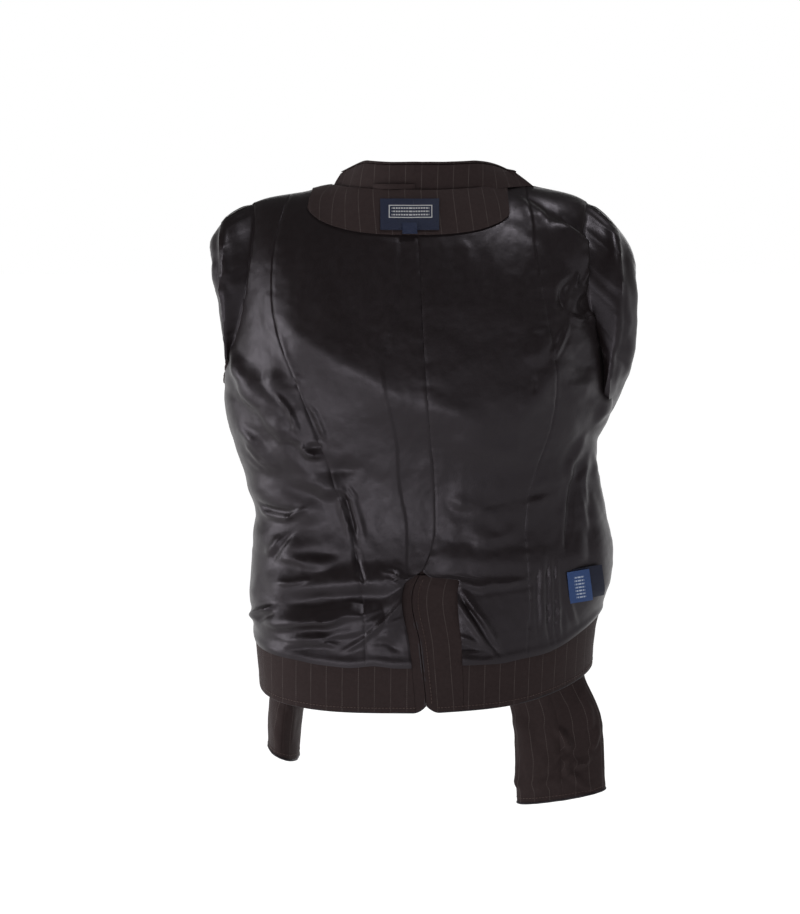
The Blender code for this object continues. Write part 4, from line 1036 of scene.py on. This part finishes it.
def makeCollar():
    place = np.linspace(-1.0, 1.0, collar["columns"])
    away, base, flat, tall, lean, spread = collarBase(place)
    foot = 0.4 + 1.4 * ease((away - 0.7) / 0.1)
    up = foot[None, :] + (tall - foot)[None, :] * fractions(collar["standRows"])[:, None]
    rise = np.stack([np.zeros_like(up), np.zeros_like(up), up], axis=-1)
    lean = lean[None] * up / collar["tall"] - spread[None] * (1.0 - up / tall[None])
    points = base[None] + rise - flat[None] * lean[..., None]
    belly = 0.5 * np.sin(math.pi * up / tall[None]) + 0.3 * softNoise(place[None] * 9.0, up / 14.0, 91)
    makeSheet("collar_stand", points + flat[None] * belly[..., None], flat[None], thickness["twill"], twill)
    crest = points[-1]
    fall = collar["fall"] * (0.72 + 0.28 * away)
    upward = np.broadcast_to(np.array([0.0, 0.0, 1.0]), flat.shape)
    rows, outs = [], []
    for depth, height, out in ((-0.3, 0.8 + 0 * tall, upward), (-3.2, 1.6 + 0 * tall, unit(upward - flat)),
                               (-5.0, -0.5 * tall, -flat), (-5.6, -tall - 2.0, -flat),
                               (-6.4, -(tall + fall) + 8.0, -flat)):
        spread = 0.30 * np.maximum(0.0, -height - tall)
        rows.append(crest + flat * (depth + spread)[:, None] + upward * height[:, None])
        outs.append(out)
    smoothPoints, smoothOuts = smoothLine(range(5), np.array(rows)), smoothLine(range(5), np.array(outs))
    fine = 4.0 * fractions(collar["fallRows"])
    outward = unit(smoothOuts(fine))
    wave = 1.2 + 0.3 * np.abs(softNoise(place[None] * 7.0, fine[:, None] * 1.5, 95))
    points = smoothPoints(fine) + outward * wave[..., None]
    makeSheet("collar_fall", points, outward, collar["fallThick"], twill)


hangerLoop = {"from": -0.30, "to": 0.02, "low": 3.0, "tall": 6.0, "stand": 1.9, "bow": 4.0, "roll": 0.6,
              "thick": 1.2, "columns": 60, "rows": 9}


def makeHangerLoop():
    along = fractions(hangerLoop["columns"])
    up = fractions(hangerLoop["rows"])[:, None]
    _, base, flat, *_ = collarBase(hangerLoop["from"] + (hangerLoop["to"] - hangerLoop["from"]) * along)
    stand = (hangerLoop["stand"] + hangerLoop["bow"] * np.sin(math.pi * along)
             + hangerLoop["roll"] * np.sin(math.pi * up))
    points = base[None] + flat[None] * stand[..., None]
    points[..., 2] += hangerLoop["low"] + hangerLoop["tall"] * up
    makeSheet("hanger_loop", points, flat[None], hangerLoop["thick"], turnedTwill)


makeCollar()
makeHangerLoop()
print("collar made")


labels = {
    "neck_label": {"x": (-56, 11), "z": (-47, -11), "above": (3.0, 3.0), "thick": 0.7, "coat": labelRibbon},
    "size_tab": {"x": (-31, -9), "z": (-52, -39), "above": (4.6, 4.6), "thick": 0.6, "coat": tabRibbon},
    "care_label_under": {"x": (170, 199), "z": (-481, -443), "above": (0.7, 6.0), "thick": 0.5,
                         "coat": careRibbonUnder, "tilt": 0.12},
    "care_label": {"x": (163, 186), "z": (-484, -446), "above": (0.9, 6.6), "thick": 0.5,
                   "coat": careRibbon, "tilt": 0.12},
}


def makeLabel(name, facts):
    rows, columns = 22, 40
    zs = np.linspace(*facts["z"], rows)
    xs = np.linspace(*facts["x"], columns)
    points, normals = np.zeros((rows, columns, 3)), np.zeros((rows, columns, 3))
    shares = fractions(401)
    tilt, middle = facts.get("tilt", 0.0), (sum(facts["x"]) / 2, sum(facts["z"]) / 2)
    for i, level in enumerate(zs):
        across, heights = xs + tilt * (middle[1] - level), level + tilt * (xs - middle[0])
        for side in (-1, 1):
            chosen = across < 0 if side < 0 else across >= 0
            if not chosen.any():
                continue
            x, z = across[chosen], heights[chosen]
            line = bodyPoint(side, shares, riseAt(side, shares, level))[:, 0] * side
            share = np.interp(x * side, np.maximum.accumulate(line), shares)
            rise = riseAt(side, share, z)
            away = np.interp(xs[chosen], facts["x"], facts["above"])
            stand = liningStand(side, share, rise) + lining["satin"] + away + facts["thick"]
            bend = 0.25 * softNoise(x / 14.0, z / 12.0, 101)
            place, normals[i, chosen] = onBody(side, share, rise)
            points[i, chosen] = place + normals[i, chosen] * (stand + bend)[:, None]
    makeSheet(name, points, normals, facts["thick"], facts["coat"])


for name, facts in labels.items():
    makeLabel(name, facts)
print("labels made")


# Loops down each sleeve: how far out, depth, height, both half sizes and lean in degrees.
sleeveCut = {
    1: [
        (222, 2, -142, 106, 60, 2), (234, 4, -147, 95, 54, 1), (245, 4, -151, 75, 44, 0),
        (243, 4, -154, 58, 35, 0), (212, 2, -152, 54, 32, 4), (176, 0, -156, 56, 30, 24),
        (142, -2, -200, 60, 29, 62), (128, -4, -262, 62, 28, 84), (122, -5, -340, 60, 26, 90),
        (126, -6, -430, 58, 25, 90), (132, -6, -515, 55, 23, 90), (138, -6, -583, 51, 22, 90),
        (158, -6, -640, 53, 21, 90), (165, -6, -740, 53, 20, 92),
    ],
    -1: [
        (242, 2, -124, 92, 57, 0), (247, 4, -121, 76, 50, -3), (251, 4, -118, 60, 40, -8),
        (247, 4, -121, 53, 33, -10), (222, 2, -126, 62, 31, 2), (188, 0, -144, 66, 30, 28),
        (162, 0, -190, 64, 30, 66), (146, 2, -250, 60, 30, 86), (142, 0, -330, 50, 33, 90),
        (148, -4, -420, 40, 37, 90), (160, -8, -510, 30, 41, 90), (168, -10, -590, 22, 44, 90),
        (175, -6, -640, 20, 48, 90), (177, -4, -681, 18, 50, 88),
    ],
    "tilt": {-1: -0.5, 1: 0.13}, "around": 120, "step": 3.4, "gather": 1.1, "crush": 1.3,
    "turn": 7.0, "lined": 14.0, "seam": 0.5, "inner": 1.4, "liningFace": 1.3,
    "drop": {"wide": 0.75, "loops": [0, 1, 2, 3.5, 6, 9, 16],
             "down": {-1: [0, 6, 14, 8, 2, 0, 0], 1: [0, 8, 27, 21, 7, 0, 0]},
             "in": {-1: [0, 0, 2, 1, 0, 0, 0], 1: [0, 1, 12, 12, 9, 0, 0]},
             "flank": {-1: [0, 0, 0, 0, 0, 0, 0], 1: [0, 3, 12, 10, 4, 0, 0]},
             "flankAt": 0.8, "flankWide": 0.5},
}


angles = np.linspace(0.0, 2 * math.pi, sleeveCut["around"], endpoint=False)


def armholeLoop(side, half, shareOf):
    # places round the armhole at the sleeve's own angles
    rise = np.minimum(riseAt(side, 1.0, armhole["middle"] - half * np.cos(angles)), 1.0)
    return np.where(angles <= math.pi, shareOf(side, rise, -1), shareOf(side, rise, 1)), rise


def sleeveGrid(side):
    share, rise = armholeLoop(side, armhole["half"], armholeShare)
    loop = bodyPoint(side, share, rise)
    inward = np.array([0.0, 0.0, armhole["middle"]]) - loop
    inward[:, 0] = 0.0
    loop = loop + unit(inward) * armhole["inset"]
    out = unit(bodyNormal(side, share, np.minimum(rise, 0.99)) + np.array([1.5 * side, 0.0, 0.0]))
    loops = [loop + out * 0.6, loop + out * 5.0]
    rows = np.array(sleeveCut[side], float)
    track = smoothLine(range(len(rows)), rows)
    places = [k / 2 for k in range(10)] + list(range(5, len(rows)))
    for place in places:
        outX, deep, height, halfLong, halfDeep, lean = track(place)
        lean = math.radians(lean)
        longAxis = np.array([-side * math.sin(lean), 0.0, math.cos(lean)])
        ring = (np.array([side * outX, deep, height]) - longAxis * (halfLong * np.cos(angles))[:, None]
                + np.array([0.0, -1.0, 0.0]) * (halfDeep * np.sin(angles))[:, None])
        if place == places[-1]:
            ring[:, 2] += sleeveCut["tilt"][side] * (ring[:, 0] - side * outX)
        loops.append(ring)
    loops = np.array(loops)
    lengths = np.linalg.norm(np.diff(loops, axis=0), axis=2).mean(axis=1)
    fine = [0.0]
    for i, length in enumerate(lengths):
        parts = max(1, int(round(length / sleeveCut["step"])))
        fine += [i + (k + 1) / parts for k in range(parts)]
    return np.array(fine), smoothLine(range(len(loops)), loops)(fine)


def gridNormals(points, side):
    along = np.gradient(points, axis=0)
    around = np.roll(points, -1, axis=1) - np.roll(points, 1, axis=1)
    return unit(np.cross(along, around) * side)


def creasedSleeve(side):
    fine, points = sleeveGrid(side)
    drop = sleeveCut["drop"]
    bottom = np.exp(-(np.minimum(angles, 2 * math.pi - angles) / drop["wide"]) ** 2)
    lower = np.exp(-((angles - drop["flankAt"]) / drop["flankWide"]) ** 2)
    down, inward, flank = (smoothLine(drop["loops"], drop[key][side])(fine)[:, None] * where
                           for key, where in (("down", bottom), ("in", bottom), ("flank", lower)))
    points = points + np.stack([-side * (inward + 0.8 * flank), -flank, -down], axis=-1)
    normals = gridNormals(points, side)
    x, y, z = points[..., 0], points[..., 1], points[..., 2]
    f, a = fine[:, None], angles[None, :]
    outside = ease((f - 1.0) / 1.5) * ease((7.5 - f) / 1.5)
    shape = creaseRise(x, z, creases["puff"]) * outside * (y < 6.0)
    lower = ease((f - 14.0) / 1.5) * ease((f[-1] - f) / 0.05 + 0.2)
    hanging = -creaseRise(x, z, creases["sleeve"]) * lower * ease((6.0 - y) / 8.0)
    gathers = np.sin(46.0 * a + 2.5 * softNoise(a * 5.0, f * 0.0, 111))
    gathers = gathers * (0.6 + 0.5 * softNoise(a * 9.0, f * 0.0, 112))
    gathers = gathers * sleeveCut["gather"] * ease(f / 0.6) * ease((3.6 - f) / 2.4)
    crush = crumple(a * 66.0, z + x * 0.6, 121 + side, sleeveCut["crush"]) * ease(f / 1.2)
    turned = np.where(f > sleeveCut["turn"], -1.0, 1.0)
    shape = shape + hanging + gathers + crush * turned
    points = points + normals * shape[..., None]
    return fine, points, gridNormals(points, side)


def holeEdge(side):
    # the edge of the body lining round the armhole
    share, rise = armholeLoop(side, armhole["half"] + 1.0, liningHole)
    points, normals = onBody(side, share, rise)
    return points + normals * (liningFace(side, share, rise, np.zeros(len(angles))) - 0.4)[:, None]


sleeveGrids = {}


def makeSleeve(side):
    fine, points, normals = creasedSleeve(side)
    sleeveGrids[side] = (fine, points, normals)
    count = len(angles)
    for label, first in (("upper_sleeve_", count // 4), ("under_sleeve_", 3 * count // 4)):
        columns = (first + np.arange(count // 2 + 1)) % count
        face = np.full((len(fine), len(columns)), -sleeveCut["inner"])
        face[:, [0, -1]] += sleeveCut["seam"]
        clothOn(label + sideName(side), points[:, columns], normals[:, columns], face, inward=True)
    chosen = fine <= sleeveCut["lined"]
    meet = ease(fine / 1.6)[:, None, None]
    placed = holeEdge(side)[None] * (1.0 - meet) + (points + normals * sleeveCut["liningFace"]) * meet
    makeSheet("sleeve_lining_" + sideName(side), placed[chosen], gridNormals(placed, side)[chosen],
              thickness["satin"], satin, closed=True)


for side in (-1, 1):
    makeSleeve(side)
print("sleeves made")


binding = {"halfWide": 1.5, "halfDeep": 2.3, "inset": 1.2, "cuffDeep": 1.4}
stitching = {"length": 2.7, "pitch": 4.1, "ventIn": 6.6, "cuffIn": 6.5}


def edgePath(side):
    # down the vent's edge and round the hem to the front edge, with the cloth's own directions
    first, turn = facing["gap"] / hemLength(side), bodyCut["ventCorner"] / bodyCut["hemQuarter"]
    beside = np.full(90, first)
    down = riseAt(side, beside, np.linspace(bodyCut["ventTop"], float(hemHeight(side, first)), 90))
    along = np.concatenate([np.linspace(first, turn, 26)[1:], np.linspace(turn, frontEdge, 320)[1:]])
    shares = np.concatenate([beside, along])
    rises = np.maximum(np.concatenate([down, np.zeros(len(along))]), 0.0)
    points = bodyPoint(side, shares, rises)
    normals = bodyNormal(side, shares, np.maximum(rises, 0.01))
    tangents = unit(np.gradient(points, axis=0))
    for _ in range(6):
        tangents[1:-1] = unit(tangents[:-2] + tangents[1:-1] + tangents[2:])
    return points, normals, unit(np.cross(tangents, normals)) * -side


attached = {}


def attach(name, side, item):
    attached.setdefault(name + sideName(side), []).append(item)


def makeHemBinding(side):
    points, normals, inward = edgePath(side)
    keep = np.linalg.norm(np.diff(points, axis=0, prepend=points[:1] - 5.0), axis=1) > 0.6
    points, normals, inward = points[keep], normals[keep], inward[keep]
    centre = points + inward * binding["inset"] - normals * 0.05
    attach("hem_facing_back_", side, makeTube(
        "hem_binding_" + sideName(side), centre, inward, normals, binding["halfWide"], binding["halfDeep"],
        bindingSatin))


def makeCuffBinding(side):
    _, points, normals = sleeveGrids[side]
    up = unit(points[-3] - points[-1])
    centre = points[-1] + up * binding["inset"] - normals[-1] * 1.0
    attach("upper_sleeve_", side, makeTube(
        "cuff_binding_" + sideName(side), centre, up, normals[-1], binding["halfWide"], binding["cuffDeep"],
        bindingSatin, closed=True))


def runStitches(points, outs):
    walk, pitch = walked(points), stitching["pitch"]
    starts = np.arange(pitch, walk[-1] - pitch, pitch)

    def at(grid, place):
        return np.stack([np.interp(place, walk, grid[:, c]) for c in range(3)], axis=-1)

    return at(points, starts), at(points, starts + stitching["length"]), unit(at(outs, starts))


def makeStitching(side):
    shares = np.linspace(9.0 / hemLength(side), frontEdge - 0.02, 420)
    lines = [(shares, hemHeight(side, shares) + facing["stitchIn"])]
    if side > 0:
        first = stitching["ventIn"] / hemLength(side)
        heights = np.linspace(bodyCut["ventTop"] - 2.0, hemHeight(side, np.array(first)) + 7.0, 120)
        lines.append((np.full(120, first), heights))
    found = []
    for shares, heights in lines:
        points, normals = onBody(side, shares, riseAt(side, shares, heights))
        found.append(runStitches(points + normals * facingFace(points)[:, None], normals))
    joined = [np.concatenate(parts) for parts in zip(*found)]
    attach("hem_facing_back_", side, makeStitches("hem_stitches_" + sideName(side), *joined, seamThread))


def makeCuffStitching(side):
    _, points, normals = sleeveGrids[side]
    row = int(np.argmin(np.abs(np.linalg.norm(points[:, 0] - points[-1, 0], axis=1) - stitching["cuffIn"])))
    around = np.arange(len(angles) + 1) % len(angles)
    run = runStitches((points[row] - normals[row] * 1.45)[around], -normals[row][around])
    attach("upper_sleeve_", side, makeStitches("cuff_stitches_" + sideName(side), *run, seamThread))


for side in (-1, 1):
    makeHemBinding(side)
    makeCuffBinding(side)
    makeStitching(side)
    makeCuffStitching(side)
print("edges made")


# The cut of each sheet before it is sewn: width and length in millimetres, area in square metres.
cutSizes = {
    "back_left": (131, 655, 0.0770), "side_left": (161, 631, 0.0826), "front_left": (353, 619, 0.1111),
    "back_right": (138, 627, 0.0833), "side_right": (121, 631, 0.0685), "front_right": (333, 618, 0.1033),
    "back_lining_left": (144, 616, 0.0764), "side_lining_left": (172, 602, 0.0788),
    "front_lining_left": (156, 565, 0.0779), "back_lining_right": (140, 600, 0.0754),
    "side_lining_right": (131, 591, 0.0671), "front_lining_right": (155, 555, 0.0715),
    "vent_facing_left": (12, 162, 0.0019), "hem_facing_back_left": (273, 57, 0.0153),
    "hem_facing_front_left": (154, 57, 0.0086), "front_facing_left": (180, 460, 0.0307),
    "vent_facing_right": (49, 163, 0.0079), "hem_facing_back_right": (224, 57, 0.0127),
    "hem_facing_front_right": (154, 63, 0.0095), "front_facing_right": (174, 442, 0.0287),
    "vent_lap": (22, 178, 0.0038), "neck_facing": (267, 58, 0.0154), "lapel_left": (40, 292, 0.0100),
    "lapel_right": (38, 290, 0.0093), "collar_stand": (365, 31, 0.0090), "collar_fall": (335, 65, 0.0193),
    "hanger_loop": (52, 10, 0.0003), "neck_label": (69, 40, 0.0027), "size_tab": (17, 14, 0.0002),
    "care_label_under": (42, 40, 0.0017), "care_label": (31, 40, 0.0012),
    "upper_sleeve_left": (135, 809, 0.1077), "under_sleeve_left": (134, 587, 0.0785),
    "sleeve_lining_left": (297, 368, 0.0830), "upper_sleeve_right": (142, 871, 0.1210),
    "under_sleeve_right": (141, 697, 0.0981), "sleeve_lining_right": (285, 382, 0.0986),
}
for name, item in made.items():
    if name != "vent_lap":
        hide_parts(name)
    width, length, area = cutSizes[name]
    area = min(area, width * length * mm * mm)


studio = {"floor": -1.35, "lens": 101.7, "camera": (-0.034, -2.72, 0.014), "tilt": 7.0}

cameraData = bpy.data.cameras.new("camera")
cameraData.sensor_fit = "HORIZONTAL"
cameraData.sensor_width = 36.0
cameraData.lens = studio["lens"]
cameraData.clip_end = 100.0
camera = addObject("camera", cameraData)
camera.location = studio["camera"]
camera.rotation_euler = (math.radians(90.0 - studio["tilt"]), 0.0, 0.0)
bpy.context.scene.camera = camera

bpy.ops.object.select_all(action="DESELECT")
bpy.ops.mesh.primitive_plane_add(size=60.0, location=(0.0, 0.0, studio["floor"]))
floor = bpy.context.object
floor.name = "floor"
# Painted light: the floor is no lamp but glows white by emission and lights the cloth from below. The glow
# is half strength in front, for y under 0.4 m, rising to full strength beyond 1.3 m.
floorMaterial, tree, shader = newMaterial("glowingPaleFloor", (0.30, 0.30, 0.30), 0.9,
                                          Emission_Color=(1.0, 1.0, 1.0, 1.0))
place = addNode(tree, "SeparateXYZ", {0: addNode(tree, "TexCoord").outputs["Object"]})
tree.links.new(mapped(tree, place.outputs[1], 0.4, 1.3, 0.5, 1.0), shader.inputs["Emission Strength"])
floor.data.materials.append(floorMaterial)

lights = [
    {"name": "lowFront", "place": (-1.1, -3.2, -1.15), "aim": (0, 0, -0.33), "size": (2.6, 0.9),
     "power": 34},
    {"name": "highRight", "place": (0.75, -0.45, 1.9), "aim": (0.12, 0, -0.05), "size": (0.16, 0.14),
     "power": 14},
    {"name": "leftSide", "place": (-2.7, -0.6, -0.1), "aim": (0, 0, -0.3), "size": (0.9, 1.8), "power": 30},
    {"name": "behind", "place": (0.4, 3.0, 0.6), "aim": (0, 0, -0.3), "size": (3.0, 2.0), "power": 25},
]
for facts in lights:
    lamp = bpy.data.lights.new(facts["name"], "AREA")
    lamp.shape = "RECTANGLE"
    lamp.size, lamp.size_y = facts["size"]
    lamp.energy = facts["power"]
    item = addObject(facts["name"], lamp)
    item.location = facts["place"]
    aim = Vector(facts["aim"]) - Vector(facts["place"])
    item.rotation_euler = aim.to_track_quat("-Z", "Y").to_euler()

world = bpy.data.worlds.new("studioWorld")
bpy.context.scene.world = world
world.use_nodes = True
tree = world.node_tree
calc = partial(mathNode, tree)
direction = addNode(tree, "SeparateXYZ", {0: addNode(tree, "TexCoord").outputs["Generated"]})
upward = calc("ADD", calc("MULTIPLY", direction.outputs[2], 0.5), 0.5)
nearer = calc("MULTIPLY", calc("MAXIMUM", calc("MULTIPLY", direction.outputs[1], -1.0)), 0.05)
ramp = addNode(tree, "ValToRGB", {0: calc("ADD", upward, nearer)})
steps = ramp.color_ramp.elements
steps[0].position, steps[1].position = 0.0, 0.545
steps[0].color = steps[1].color = (1, 1, 1, 1)
for position, value in ((0.575, 0.34), (0.65, 0.15), (0.80, 0.07)):
    steps.new(position).color = (value, value, value, 1)
background = tree.nodes["Background"]
tree.links.new(ramp.outputs[0], background.inputs["Color"])
background.inputs["Strength"].default_value = 1.0
bpy.context.scene.view_settings.view_transform = "Standard"
print("studio made")

total = 0
for item in bpy.context.scene.objects:
    if item.type == "MESH" and not item.hide_render and item != floor:
        item.data.calc_loop_triangles()
        total += len(item.data.loop_triangles)
print("triangles", total)
